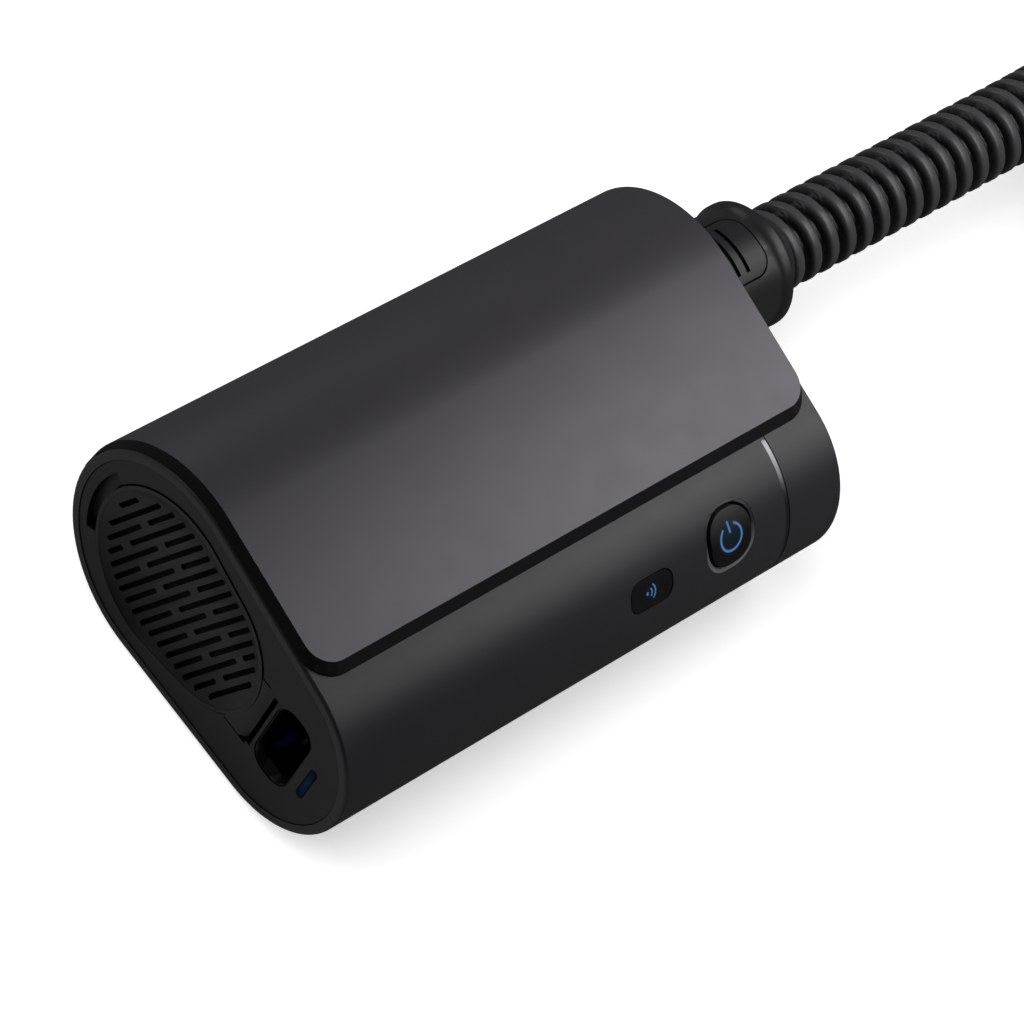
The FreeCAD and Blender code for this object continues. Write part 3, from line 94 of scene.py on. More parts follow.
def grid_mesh(name, points, ring=True, closed=False):
    """Mesh of a (rows, columns, 3) grid: rows run along the piece and columns go round it.

    With ring, the last column joins the first. With closed, each end row is filled by one face.
    """
    rows, columns = points.shape[:2]
    faces = grid_faces(rows, columns, ring).tolist()
    if closed:
        faces += [list(range(columns))[::-1], list(range((rows - 1) * columns, rows * columns))]
    mesh = bpy.data.meshes.new(name)
    mesh.from_pydata(points.reshape(-1, 3).tolist(), [], faces)
    mesh.shade_smooth()
    mesh.update()
    return mesh


def mark(mesh, name, values):
    """Store one number for each point of a mesh, for its material to read."""
    layer = mesh.attributes.new(name, "FLOAT", "POINT")
    layer.data.foreach_set("value", np.asarray(values, dtype=np.float32).ravel())


# %% [markdown]
# ## Procedural finishes
# Moulded plastic is never one flat colour. Its colour drifts a little over centimetres, a fine
# grain from the spark-eroded mould breaks up the gloss, and handling leaves it slightly more
# polished in places. One recipe gives all three from noise on Object coordinates, so a pattern
# keeps its scale on every piece.
# %% Helper: moulded plastic and paint


def new_material(name):
    """Empty node material with its Principled shader, ready to be wired."""
    material = bpy.data.materials.new(name)
    material.use_nodes = True
    nodes = material.node_tree.nodes
    return material, nodes, material.node_tree.links, nodes["Principled BSDF"]


def noise(nodes, links, scale, detail=3.0):
    """Noise on Object coordinates: scale is the number of cells in one metre."""
    where = nodes.new("ShaderNodeTexCoord")
    texture = nodes.new("ShaderNodeTexNoise")
    texture.inputs["Scale"].default_value = scale
    texture.inputs["Detail"].default_value = detail
    texture.inputs["Roughness"].default_value = 0.5
    links.new(where.outputs["Object"], texture.inputs["Vector"])
    return texture.outputs["Fac"]


def ramp(nodes, links, value, low, high, low_value, high_value):
    """Map a value between two limits on to a value between two others."""
    span = nodes.new("ShaderNodeMapRange")
    span.inputs["From Min"].default_value = low
    span.inputs["From Max"].default_value = high
    span.inputs["To Min"].default_value = low_value
    span.inputs["To Max"].default_value = high_value
    links.new(value, span.inputs["Value"])
    return span.outputs["Result"]


def blend_colour(nodes, links, value, stops):
    """Colour that follows a value through some (place, colour) stops."""
    colours = nodes.new("ShaderNodeValToRGB")
    elements = colours.color_ramp.elements
    while len(elements) < len(stops):
        elements.new(0.5)
    for element, (place, colour) in zip(elements, stops):
        element.position = place
        element.color = (*colour, 1.0)
    links.new(value, colours.inputs["Fac"])
    return colours.outputs["Color"]


WIDE_CELLS = 45.0
WEAR_CELLS = 160.0
GRAIN_HEIGHT = 0.00005


def surface_finish(name, colour, roughness, drift, grain, depth, metal=0.0, spread=0.015):
    """Moulded or painted finish: drifting colour, slightly uneven gloss and a fine raised grain.

    colour times (1 - drift) to (1 + drift) follows wide noise. Roughness moves by spread with a
    finer noise. grain is the grain's cells in a metre and depth the strength of its bump.
    """
    material, nodes, links, shader = new_material(name)
    low = tuple(c * (1 - drift) for c in colour)
    high = tuple(min(1.0, c * (1 + drift)) for c in colour)
    wide = noise(nodes, links, WIDE_CELLS)
    drifting = blend_colour(nodes, links, wide, [(0.3, low), (0.7, high)])
    links.new(drifting, shader.inputs["Base Color"])
    worn = noise(nodes, links, WEAR_CELLS, 4.0)
    gloss = ramp(nodes, links, worn, 0.3, 0.7, roughness - spread, roughness + spread)
    links.new(gloss, shader.inputs["Roughness"])
    shader.inputs["Metallic"].default_value = metal
    bump = nodes.new("ShaderNodeBump")
    bump.inputs["Strength"].default_value = depth
    bump.inputs["Distance"].default_value = GRAIN_HEIGHT
    links.new(noise(nodes, links, grain, 2.0), bump.inputs["Height"])
    links.new(bump.outputs["Normal"], shader.inputs["Normal"])
    return material


# %% [markdown]
# ## The finishes of this machine
# The cover is painted a dark gunmetal over plastic. Its black frame, the end plate and the filter
# cover are bare moulded plastic, and the shells are satin charcoal.
# %% Make the finishes
# colour, roughness, drift, cells of grain in a metre, depth of grain, metal, spread of roughness
FINISHES = {
    "gunmetal_paint": ((0.165, 0.158, 0.180), 0.42, 0.02, 5200.0, 0.06, 0.35),
    "shell_satin": ((0.072, 0.069, 0.077), 0.40, 0.03, 5200.0, 0.10),
    "plate_grain": ((0.016, 0.0155, 0.018), 0.48, 0.08, 2400.0, 0.25),
    "filter_cover_grain": ((0.018, 0.018, 0.020), 0.42, 0.06, 2400.0, 0.15),
    "felted_filter": ((0.010, 0.011, 0.016), 0.95, 0.25, 900.0, 1.0),
    "open_foam": ((0.05, 0.05, 0.055), 1.0, 0.35, 700.0, 1.0, 0.0, 0.0),
    "foot_rubber": ((0.013, 0.013, 0.013), 0.78, 0.15, 1500.0, 0.5),
    "screw_steel": ((0.50, 0.50, 0.51), 0.30, 0.05, 3000.0, 0.1, 1.0),
    "contact_metal": ((0.30, 0.25, 0.16), 0.35, 0.05, 3000.0, 0.05, 1.0),
    "board_green": ((0.012, 0.110, 0.045), 0.35, 0.12, 500.0, 0.2),
    "sensor_black": ((0.012, 0.012, 0.013), 0.40, 0.10, 2500.0, 0.15),
    "blower_white": ((0.66, 0.66, 0.63), 0.45, 0.03, 3000.0, 0.1),
    "impeller_white": ((0.75, 0.75, 0.72), 0.25, 0.02, 3000.0, 0.05),
    "motor_alloy": ((0.55, 0.55, 0.56), 0.32, 0.05, 3500.0, 0.1, 1.0),
    "rotor_iron": ((0.06, 0.06, 0.065), 0.45, 0.15, 2500.0, 0.2, 0.8),
    "soft_mount": ((0.09, 0.09, 0.095), 0.70, 0.10, 2500.0, 0.3),
    "duct_silicone": ((0.50, 0.52, 0.54), 0.45, 0.04, 1500.0, 0.1),
    "port_black": ((0.012, 0.012, 0.013), 0.40, 0.10, 3000.0, 0.15),
    "seal_silicone": ((0.27, 0.29, 0.33), 0.35, 0.04, 1500.0, 0.05),
    "connector_satin": ((0.050, 0.049, 0.053), 0.36, 0.04, 4200.0, 0.12),
    "release_grain": ((0.050, 0.049, 0.053), 0.42, 0.05, 2400.0, 0.20),
    "cuff_rubber": ((0.020, 0.020, 0.021), 0.55, 0.10, 1800.0, 0.3),
}
finish = {name: surface_finish(name, *values) for name, values in FINISHES.items()}
print(len(finish), "plain finishes")

# %% [markdown]
# ## Finishes that change over a piece
# Nine finishes depend on place. The hose is painted darker down between its ribs: painted shade.
# The trim's colour is a painted highlight, bright beside the cover and dull lower down. The cover's
# black edge is painted darkest at the filter end: painted shade. The power button's rim is painted
# paler on its lower part, a painted highlight, and its face is painted darker there and lighter
# towards its
# top: painted shade and highlight. The symbols are pale along the middle of each stroke and deep
# blue at its edges, as light in a milky lens is. The status light, the glow in the socket and the
# glow round each symbol fade out from their middles; the glow in the socket is painted light, as
# the socket holds no lamp.
# %% Make the finishes that change


def hose_finish(name, ridge, valley):
    """Satin hose: the mesh's height attribute is 0 in a valley and 1 on top of a rib."""
    material = surface_finish(name, ridge, 0.31, 0.05, 1800.0, 0.08)
    nodes, links = material.node_tree.nodes, material.node_tree.links
    shader = nodes["Principled BSDF"]
    height = nodes.new("ShaderNodeAttribute")
    height.attribute_name = "height"
    # The colour follows the height: the valleys are painted darker, as painted shade between the
    # ribs.
    colour = blend_colour(nodes, links, height.outputs["Fac"], [(0.35, valley), (0.95, ridge)])
    links.new(colour, shader.inputs["Base Color"])
    return material


def turning_finish(name, axis, low, high, stops, roughness, depth, metal=0.0):
    """Finish whose colour follows its stops between two places on an axis, X, Y or Z."""
    material = surface_finish(name, stops[-1][1], roughness, 0.02, 3600.0, depth, metal)
    nodes, links = material.node_tree.nodes, material.node_tree.links
    where = nodes.new("ShaderNodeTexCoord")
    split = nodes.new("ShaderNodeSeparateXYZ")
    links.new(where.outputs["Object"], split.inputs["Vector"])
    share = ramp(nodes, links, split.outputs[axis], low, high, 0.0, 1.0)
    colour = blend_colour(nodes, links, share, stops)
    links.new(colour, nodes["Principled BSDF"].inputs["Base Color"])
    return material


def glow_finish(name, stops):
    """Milky lens lit from behind: its colour follows the mesh's edge attribute, 0 to 1."""
    material, nodes, links, shader = new_material(name)
    shader.inputs["Base Color"].default_value = (0.02, 0.03, 0.05, 1.0)
    shader.inputs["Roughness"].default_value = 0.35
    edge = nodes.new("ShaderNodeAttribute")
    edge.attribute_name = "edge"
    colour = blend_colour(nodes, links, edge.outputs["Fac"], stops)
    links.new(colour, shader.inputs["Emission Color"])
    shader.inputs["Emission Strength"].default_value = 1.0
    return material


def light_inside(material, place, reach, glow, full):
    """Give a finish a soft glow inside an ellipsoid about a place, reach being its half sizes.

    The glow is whole up to a share of the reach and fades to nothing at its end.
    """
    nodes, links = material.node_tree.nodes, material.node_tree.links
    shader = nodes["Principled BSDF"]
    where = nodes.new("ShaderNodeTexCoord")
    local = nodes.new("ShaderNodeMapping")
    local.vector_type = "TEXTURE"
    local.inputs["Location"].default_value = place
    local.inputs["Scale"].default_value = reach
    links.new(where.outputs["Object"], local.inputs["Vector"])
    far = nodes.new("ShaderNodeVectorMath")
    far.operation = "LENGTH"
    links.new(local.outputs["Vector"], far.inputs[0])
    fade = blend_colour(nodes, links, far.outputs["Value"], [(full, glow), (1.0, (0.0, 0.0, 0.0))])
    links.new(fade, shader.inputs["Emission Color"])
    shader.inputs["Emission Strength"].default_value = 1.0


# The hose's dark valley colour is painted shade between its ribs.
finish["hose_satin"] = hose_finish("hose_satin", (0.150, 0.147, 0.154), (0.008, 0.008, 0.009))
# The trim's colour is a painted highlight: bright beside the cover and dull lower down.
trim_highlight_stops = [(0.0, (0.07, 0.07, 0.075)), (1.0, (0.22, 0.22, 0.23))]
# The black edge is painted darker towards the filter end: painted shade.
edge_shade_stops = [
    (0.0, (0.002, 0.002, 0.0022)),
    (0.45, (0.008, 0.008, 0.009)),
    (0.6, (0.030, 0.029, 0.033)),
]
# The rim is painted paler on its lower part, where it faces the light: a painted highlight.
rim_highlight_stops = [
    (0.0, (0.42, 0.415, 0.43)),
    (0.45, (0.30, 0.295, 0.31)),
    (1.0, (0.066, 0.063, 0.071)),
]
# The button's face is painted darker low down and lighter towards its top: painted shade and
# highlight.
face_light_stops = [
    (0.0, (0.009, 0.009, 0.011)),
    (0.45, (0.012, 0.012, 0.014)),
    (1.0, (0.055, 0.053, 0.058)),
]
# axis, its two places, stops, roughness, depth of grain, metal
TURNING = {
    "bright_trim": ("Z", 0.030, 0.044, trim_highlight_stops, 0.34, 0.04, 1.0),
    "black_edge": ("X", -0.0686, -0.0662, edge_shade_stops, 0.45, 0.08),
    "button_rim": ("Z", 0.0335, 0.0385, rim_highlight_stops, 0.34, 0.05),
    "lit_button": ("Z", 0.0345, 0.0420, face_light_stops, 0.42, 0.1),
}
for name, values in TURNING.items():
    finish[name] = turning_finish(name, *values)
symbol_stops = [
    (0.0, (0.082, 0.200, 0.370)),
    (0.45, (0.062, 0.162, 0.320)),
    (0.9, (0.003, 0.035, 0.110)),
]
finish["symbol_glow"] = glow_finish("symbol_glow", symbol_stops)
LIT_PLASTIC = {
    "status_glow": ((0.001, 0.002, 0.006), 0.6),
    "socket_black": ((0.006, 0.006, 0.008), 0.35),
    "lit_small_button": ((0.011, 0.011, 0.0135), 0.42),
}
for name, (colour, roughness) in LIT_PLASTIC.items():
    finish[name] = surface_finish(name, colour, roughness, 0.08, 3000.0, 0.1)
POWER_MIDDLE = (0.0361, -0.0364, 0.0381)
STATUS_MIDDLE, STATUS_REACH = (-0.0688, -0.0326, 0.0223), (0.01, 0.001, 0.0055)
SOCKET_REACH = (0.0046, 0.0012, 0.003)
# middle, half sizes, colour, share of the reach that is fully lit
GLOWS = {
    "status_glow": (STATUS_MIDDLE, STATUS_REACH, (0.0006, 0.0055, 0.026), 0.25),
    # The socket's blue glow is painted light: the socket holds no lamp of its own.
    "socket_black": ((-0.0617, -0.0213, 0.0145), SOCKET_REACH, (0.0002, 0.001, 0.0055), 0.25),
    "lit_button": (POWER_MIDDLE, (0.004,) * 3, (0.0, 0.0045, 0.011), 0.78),
    "lit_small_button": ((0.0134, -0.0374, 0.0363), (0.0021,) * 3, (0.0, 0.0035, 0.009), 0.55),
}
for name, values in GLOWS.items():
    light_inside(finish[name], *values)
for dull, level in (("status_glow", 0.1), ("black_edge", 0.2)):
    shader = finish[dull].node_tree.nodes["Principled BSDF"]
    shader.inputs["Specular IOR Level"].default_value = level
print(len(finish), "finishes")

# %% [markdown]
# ## Exact directions of curved faces
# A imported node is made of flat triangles, often long and thin ones, and shading that is averaged
# over them shows as streaks. The forms behind them are simple, though, so each corner can take the
# exact direction of the surface that it lies on: the housing's section, a turned form or the
# filter cover's dish. Only a corner that already points almost that way is changed, so sharp edges
# and small roundings stay.
# %% Helpers: where a surface faces
SECTION = ((0.0160, 0.0264), 0.0260, (-0.0200, 0.0230), 0.0220)
GRILLE = ((0.0141, 0.0260), 0.0203, (0.0031, 0.0256), 0.0176)
COVER_RISE = 0.0024
CROWN_BACK, CROWN_FRONT, CROWN_FADE = 8.0, 4.0, 24.0
OUTLET = np.array([0.0, 0.0160, 0.0264])
DISH_LIP, DISH_MIDDLE, DISH_STEEPEST, DISH_FADE = 0.0006, 0.0130, 0.75, 1.6
DISH_LOWEST_Y = -0.0110
FACES_END = -0.80
SNAP_COSINE = math.cos(math.radians(13.0))


def circles(outline):
    """Both circles of an outline, the line from the front one to the back one, and its tangent.

    The common tangent leans by the difference of the radii over the distance of the centres, and
    its level part follows from lean^2 + level^2 = 1.
    """
    back, back_radius, front, front_radius = (np.array(v) for v in outline)
    gap = np.linalg.norm(back - front)
    along = (back - front) / gap
    lean = (back_radius - front_radius) / gap
    return front, back_radius, front_radius, gap, along, lean, math.sqrt(1 - lean**2)


def two_circle_field(places, outline, lift=0.0):
    """Distance outside an outline round two circles, and the direction straight away from it.

    Along the circles' line, a point lies beside the front arc, the flat or the back arc, as its
    foot on the common tangent shows. An arc's direction is away from its circle's centre, and the
    flat's is square to the tangent.
    """
    front, back_radius, front_radius, gap, along, lean, level = circles(outline)
    across = np.array([-along[1], along[0]])
    away = places[:, 1:] - front - np.array([0.0, lift])
    run = away @ along
    rise = away @ across
    side = np.where(rise < 0, -1.0, 1.0)[:, None]
    rise = np.abs(rise)
    foot = run * level + rise * lean
    past = foot > gap * level
    arc = np.stack([run - np.where(past, gap, 0.0), rise], axis=-1)
    size = np.linalg.norm(arc, axis=1) + 1e-12
    beside = (foot < 0) | past
    facing = np.where(beside[:, None], arc / size[:, None], np.array([-lean, level]))
    on_arc = size - np.where(past, back_radius, front_radius)
    distance = np.where(beside, on_arc, rise * level - run * lean - front_radius)
    outward = np.zeros((len(places), 3))
    outward[:, 1:] = facing[:, :1] * along + facing[:, 1:] * side * across
    return distance, outward


def snap(own, wanted):
    """Take the wanted direction, or its opposite, where a corner's own one is almost that way."""
    agree = np.einsum("ij,ij->i", own, wanted)
    close = np.abs(agree) > SNAP_COSINE
    return np.where(close[:, None], np.sign(agree)[:, None] * wanted, own)


def section_rule(place, own):
    """Corners on the housing's section face straight away from it."""
    return snap(own, two_circle_field(place, SECTION)[1])


def crowned(place, facing):
    """Directions of a section whose flat is slightly crowned, as a moulded cover's is.

    Beside the flat's back line a direction is turned a few degrees towards the back, beside its
    front line towards the front, evenly in between, and less and less round the arcs, by
    exp(-angle / fade).
    """
    front, _, _, gap, along, lean, level = circles(SECTION)
    flat = -lean * along + level * np.array([-along[1], along[0]])
    back_of_flat = (place[:, 1:] - front) @ np.array([flat[1], -flat[0]])
    share = np.clip(back_of_flat / (gap * level), 0.0, 1.0)
    angle = np.degrees(np.arccos(np.clip(facing[:, 1:] @ flat, -1.0, 1.0)))
    steepest = np.radians(share * CROWN_BACK - (1.0 - share) * CROWN_FRONT)
    turn = steepest * np.exp(-angle / CROWN_FADE)
    aside = np.stack([np.zeros(len(place)), facing[:, 2], -facing[:, 1]], axis=-1)
    return facing * np.cos(turn)[:, None] + aside * np.sin(turn)[:, None]


def cover_rule(place, own):
    """As section_rule, for the cover: the housing's section, lifted a little and crowned."""
    exact = two_circle_field(place, SECTION, COVER_RISE)[1]
    agree = np.einsum("ij,ij->i", own, exact)
    close = np.abs(agree) > SNAP_COSINE
    return np.where(close[:, None], np.sign(agree)[:, None] * crowned(place, exact), own)


def turned_rule(place, own):
    """Corners of a form turned about the outlet's axis keep their slope and face away from it."""
    away = place - OUTLET
    away[:, 0] = 0.0
    away /= np.linalg.norm(away, axis=1, keepdims=True) + 1e-12
    level = own.copy()
    level[:, 0] = 0.0
    size = np.linalg.norm(level, axis=1)
    agree = np.einsum("ij,ij->i", level, away)
    close = np.abs(agree) > SNAP_COSINE * size
    exact = np.sign(agree)[:, None] * size[:, None] * away
    exact[:, 0] = own[:, 0]
    return np.where(close[:, None], exact, own)


def dish_rule(place, own):
    """Corners on the filter cover's front face follow a smooth dish inside its lip.

    The slope is steepest at the lip and falls to nothing towards the middle: it is the steepest
    one times (1 - share)^fade, and share runs from 0 at the lip to 1 in the middle.
    """
    distance, outward = two_circle_field(place, GRILLE)
    share = np.clip((-distance - DISH_LIP) / (DISH_MIDDLE - DISH_LIP), 0.0, 1.0)
    slope = DISH_STEEPEST * (1.0 - share) ** DISH_FADE
    wanted = -outward * slope[:, None]
    wanted[:, 0] = -1.0
    wanted /= np.linalg.norm(wanted, axis=1, keepdims=True)
    in_dish = (-distance > DISH_LIP - 0.0002) & (place[:, 1] > DISH_LOWEST_Y)
    return np.where(((own[:, 0] < FACES_END) & in_dish)[:, None], wanted, own)


# %% [markdown]
# ## Three forms that are carried further than in the solids
# The cover's black edge stands back a little more in front, the filter cover's dish is a deeper
# bowl, and the power button's rim slopes in below the button. All are small moves of points that
# are already there: a rule gives each point of the mesh its shift as a function of its place.
# %% Helpers: move the cover's front edge, the dish and the button's rim
FLAT_LEAN = math.atan2(0.0034, 0.0360) + math.asin(0.0040 / math.hypot(0.0360, 0.0034))
COVER_FRONT_Y = -0.0234
CORNER_ZONE = 0.0092
EDGE_SET_BACK = 0.0008
DISH_DEEPER = 0.00085
DISH_START = 0.0008
DISH_REACH = 0.0090
DISH_BACK_X = -0.0675
BUTTON_MIDDLE = np.array(POWER_MIDDLE)
BUTTON_UP = np.array([0.0, 0.677, 0.736])
ALONG = np.array([1.0, 0.0, 0.0])
RAISED = 0.0012
MOAT_DEPTH = 0.0021
MOAT_LIFT = 0.0008
MOAT_HALF_WIDTH, MOAT_HALF_HEIGHT, MOAT_EDGE = 0.0057, 0.0062, 0.0003
FOOT_SHIFT = 0.00032
LIP_HALF_WIDTH, LIP_HALF_HEIGHT, LIP_ROUND = 0.00095, 0.00146, 0.00582
LIP_SHIFT = 0.00045
LIP_DROP = 0.00025
SHARE_ASIDE, SHARE_LEAN, SHARE_BELOW = 0.35, 0.35, 0.85


def set_back(place):
    """Shift of the cover's raised outline: points near its front edge move up the flat.

    Only points that stand clear of the housing's section belong to the raised outline.
    """
    outside = two_circle_field(place, SECTION)[0]
    moves = (outside > RAISED) & (place[:, 1] < COVER_FRONT_Y + CORNER_ZONE)
    along = EDGE_SET_BACK * np.array([0.0, math.cos(FLAT_LEAN), math.sin(FLAT_LEAN)])
    return np.where(moves[:, None], along, 0.0)


def deepen(place):
    """Shift of the dish's front: its depth is a smooth step of the distance inside the outline.

    The smooth step of a share is share^2 (3 - 2 share).
    """
    inside = -two_circle_field(place, GRILLE)[0]
    share = np.clip((inside - DISH_START) / DISH_REACH, 0.0, 1.0)
    shift = np.zeros_like(place)
    depth = DISH_DEEPER * share**2 * (3.0 - 2.0 * share)
    shift[:, 0] = np.where(place[:, 0] < DISH_BACK_X, depth, 0.0)
    return shift


def slope_rim(place):
    """Shift of the power button's rim: below it the moat's floor rises and the lip slopes in.

    The share of each move is a cosine of the direction from the button's middle: whole straight
    below and towards the hose end, and none above. Floor points rise, the outer ones also moving
    in, and points of the lip, inside the rounded outline of the rim, move in and sink.
    """
    outside, outward = two_circle_field(place, SECTION)
    away = place - BUTTON_MIDDLE
    low = -(away @ BUTTON_UP)
    across = away[:, 0]
    size = np.hypot(low, across) + 1e-9
    share = np.clip(SHARE_ASIDE + SHARE_BELOW * (low + SHARE_LEAN * across) / size, 0.0, 1.0)
    floor = np.abs(outside + MOAT_DEPTH) < 0.00008
    wide, high = np.abs(across), np.abs(low)
    foot = floor & (np.maximum(high - MOAT_HALF_HEIGHT, wide - MOAT_HALF_WIDTH) > MOAT_EDGE)
    past_width = np.maximum(wide - LIP_HALF_WIDTH, 0.0)
    corner = np.hypot(past_width, np.maximum(high - LIP_HALF_HEIGHT, 0.0))
    lip = (np.abs(outside) < 0.0002) & (corner < LIP_ROUND)
    inwards = np.where(lip, share * LIP_SHIFT, np.where(foot, share * FOOT_SHIFT, 0.0)) / size
    lift = np.where(lip, -share * LIP_DROP, np.where(floor, share * MOAT_LIFT, 0.0))
    aside = across[:, None] * ALONG - low[:, None] * BUTTON_UP
    return outward * lift[:, None] - aside * inwards[:, None]


def reshape(mesh, rule):
    """Move the points of a mesh by a rule of their places."""
    places = np.empty(len(mesh.vertices) * 3, dtype=np.float32)
    mesh.vertices.foreach_get("co", places)
    place = places.reshape(-1, 3).astype(float)
    moved = place + rule(place)
    mesh.vertices.foreach_set("co", moved.astype(np.float32).ravel())
    mesh.update()
    print(mesh.name, int((np.abs(moved - place).max(axis=1) > 0).sum()), "points moved")


RESHAPED = {
    "top_cover": set_back,
    "cover_frame": set_back,
    "filter_cover": deepen,
    "power_bezel": slope_rim,
}

# %% [markdown]
# ## Rigid pieces with softened edges
# A CAD edge is perfectly sharp, but no moulded edge is. Each visible node is copied, its loose
# triangles are merged, flat areas are joined again, and a small bevel rounds what is sharp, so
# every edge catches a thin line of light. Directions are then averaged with large faces leading,
# so a bevel's narrow strips don't tilt the broad face beside them, and curved faces take their
# exact directions.
# %% Soften the visible nodes
SHARP_ANGLE = 50.0
BEVEL_ANGLE = 32.0
FLAT_ANGLE = 0.3
MERGE_DISTANCE = 2e-6


def body_of(node):
    """The CAD body that a node belongs to."""
    bodies = frame["record"]["behaviour"]["bodies"]
    return next(name for name, members in bodies.items() if node in members)


def merged_copy(node, name):
    """Copy of a node's mesh with its points merged and its flat areas joined."""
    mesh = frame["nodes"][node].data.copy()
    mesh.name = name
    work = bmesh.new()
    work.from_mesh(mesh)
    bmesh.ops.remove_doubles(work, verts=work.verts, dist=MERGE_DISTANCE)
    bmesh.ops.dissolve_limit(
        work,
        angle_limit=math.radians(FLAT_ANGLE),
        use_dissolve_boundaries=False,
        verts=work.verts,
        edges=work.edges,
    )
    work.to_mesh(mesh)
    work.free()
    mesh.shade_smooth()
    return mesh


def apply_modifiers(piece):
    """Turn a piece's modifiers into its real mesh."""
    graph = bpy.context.evaluated_depsgraph_get()
    mesh = bpy.data.meshes.new_from_object(piece.evaluated_get(graph))
    mesh.name = piece.name
    piece.modifiers.clear()
    piece.data = mesh
    return mesh


def face_exactly(mesh, rule):
    """Set the direction of every face corner by a rule of its place and its own direction."""
    own = np.empty(len(mesh.loops) * 3, dtype=np.float32)
    mesh.corner_normals.foreach_get("vector", own)
    point = np.empty(len(mesh.loops), dtype=np.int32)
    mesh.loops.foreach_get("vertex_index", point)
    places = np.empty(len(mesh.vertices) * 3, dtype=np.float32)
    mesh.vertices.foreach_get("co", places)
    place = places.reshape(-1, 3)[point].astype(float)
    mesh.normals_split_custom_set(rule(place, own.reshape(-1, 3).astype(float)).tolist())


def softened(node, name, material, radius, rule):
    """Copy of a node with merged points, edges bevelled by a radius in mm and exact faces."""
    mesh = merged_copy(node, name)
    if node in RESHAPED:
        reshape(mesh, RESHAPED[node])
    mesh.materials.clear()
    mesh.materials.append(finish[material])
    piece = add_piece(name, mesh, body_of(node), [node])
    bevel = piece.modifiers.new("softened_edges", "BEVEL")
    bevel.width = radius * MM
    bevel.segments = 2
    bevel.limit_method = "ANGLE"
    bevel.angle_limit = math.radians(BEVEL_ANGLE)
    bevel.use_clamp_overlap = True
    mesh = apply_modifiers(piece)
    mesh.set_sharp_from_angle(angle=math.radians(SHARP_ANGLE))
    weighted = piece.modifiers.new("large_faces_lead", "WEIGHTED_NORMAL")
    weighted.mode = "FACE_AREA"
    weighted.weight = 75
    weighted.keep_sharp = True
    mesh = apply_modifiers(piece)
    if rule:
        face_exactly(mesh, rule)
    return piece


# finish, bevel in mm, rule for exact directions
SOFTENED = {
    "lower_shell": ("shell_satin", 0.12, section_rule),
    "upper_shell": ("shell_satin", 0.12, section_rule),
    "outlet_end_cap": ("shell_satin", 0.12, section_rule),
    "seam_trim": ("bright_trim", 0.05, section_rule),
    "top_cover": ("gunmetal_paint", 0.10, cover_rule),
    "cover_frame": ("black_edge", 0.15, cover_rule),
    "foot_pad": ("foot_rubber", 0.10, None),
    "inlet_end_plate": ("plate_grain", 0.15, None),
    "filter_cover": ("filter_cover_grain", 0.10, dish_rule),
    "power_socket": ("socket_black", 0.15, None),
    "power_bezel": ("button_rim", 0.05, section_rule),
    "power_button": ("lit_button", 0.35, section_rule),
    "pairing_button": ("lit_small_button", 0.12, section_rule),
    "outlet_port": ("port_black", 0.15, turned_rule),
    "hose_connector": ("connector_satin", 0.25, turned_rule),
    "release_upper": ("release_grain", 0.12, turned_rule),
    "release_lower": ("release_grain", 0.12, turned_rule),
    "hose_collar": ("connector_satin", 0.20, turned_rule),
    "mask_end_cuff": ("cuff_rubber", 0.20, None),
}
for node, (material, radius, rule) in SOFTENED.items():
    softened(node, node + "_piece", material, radius, rule)
print(len(SOFTENED), "softened pieces")

# %% [markdown]
# ## Plain nodes
# Parts deep inside keep their CAD mesh and only take their finish.
# %% Give the inner nodes their finishes
PLAIN = {
    "case_screws": "screw_steel",
    "air_filter": "felted_filter",
    "inlet_foam": "open_foam",
    "socket_contacts": "contact_metal",
    "status_light": "status_glow",
    "button_board": "board_green",
    "button_switches": "sensor_black",
    "main_board": "board_green",
    "pressure_sensor": "sensor_black",
    "blower_lower": "blower_white",
    "blower_upper": "blower_white",
    "impeller": "impeller_white",
    "impeller_shaft": "screw_steel",
    "motor_rotor": "rotor_iron",
    "motor_case": "motor_alloy",
    "shaft_bearings": "screw_steel",
    "blower_mounts": "soft_mount",
    "outlet_duct": "duct_silicone",
    "outlet_seal": "seal_silicone",
}
for node, material in PLAIN.items():
    mesh = frame["nodes"][node].data
    mesh.materials.clear()
    mesh.materials.append(finish[material])
print(len(PLAIN), "plain nodes")

# %% [markdown]
# ## Lit symbols
# A symbol is drawn with strokes. A stroke is a closed bar whose plan follows a line and whose top
# follows the button's curved face, with round ends. Each point knows how far it is from the
# stroke's middle line, so the finish can light the middle more than the edges.
# %% Draw the symbols
FRONT_AXIS = np.array([-0.0200, 0.0230])
STROKE_PROFILE = np.array(
    [(-1.0, 0), (-1.0, 1), (-0.6, 1), (-0.2, 1), (0.2, 1), (0.6, 1), (1.0, 1), (1.0, 0)], float
)


def on_front(flat, middle_x, angle, radius):
    """Carry flat symbol points (x, y) to the front's curve of a radius, centred at an angle.

    x runs along the housing. y runs up the section, straight in the plane that touches the curve,
    so the point's height over that plane comes from the circle: sqrt(radius^2 - y^2).
    """
    lean = math.radians(angle)
    out = np.array([-math.cos(lean), math.sin(lean)])
    up = np.array([math.sin(lean), math.cos(lean)])
    y = flat[..., 1]
    height = np.sqrt(radius**2 - y**2)
    plane = FRONT_AXIS + height[..., None] * out + y[..., None] * up
    return np.concatenate([flat[..., :1] + middle_x, plane], axis=-1)


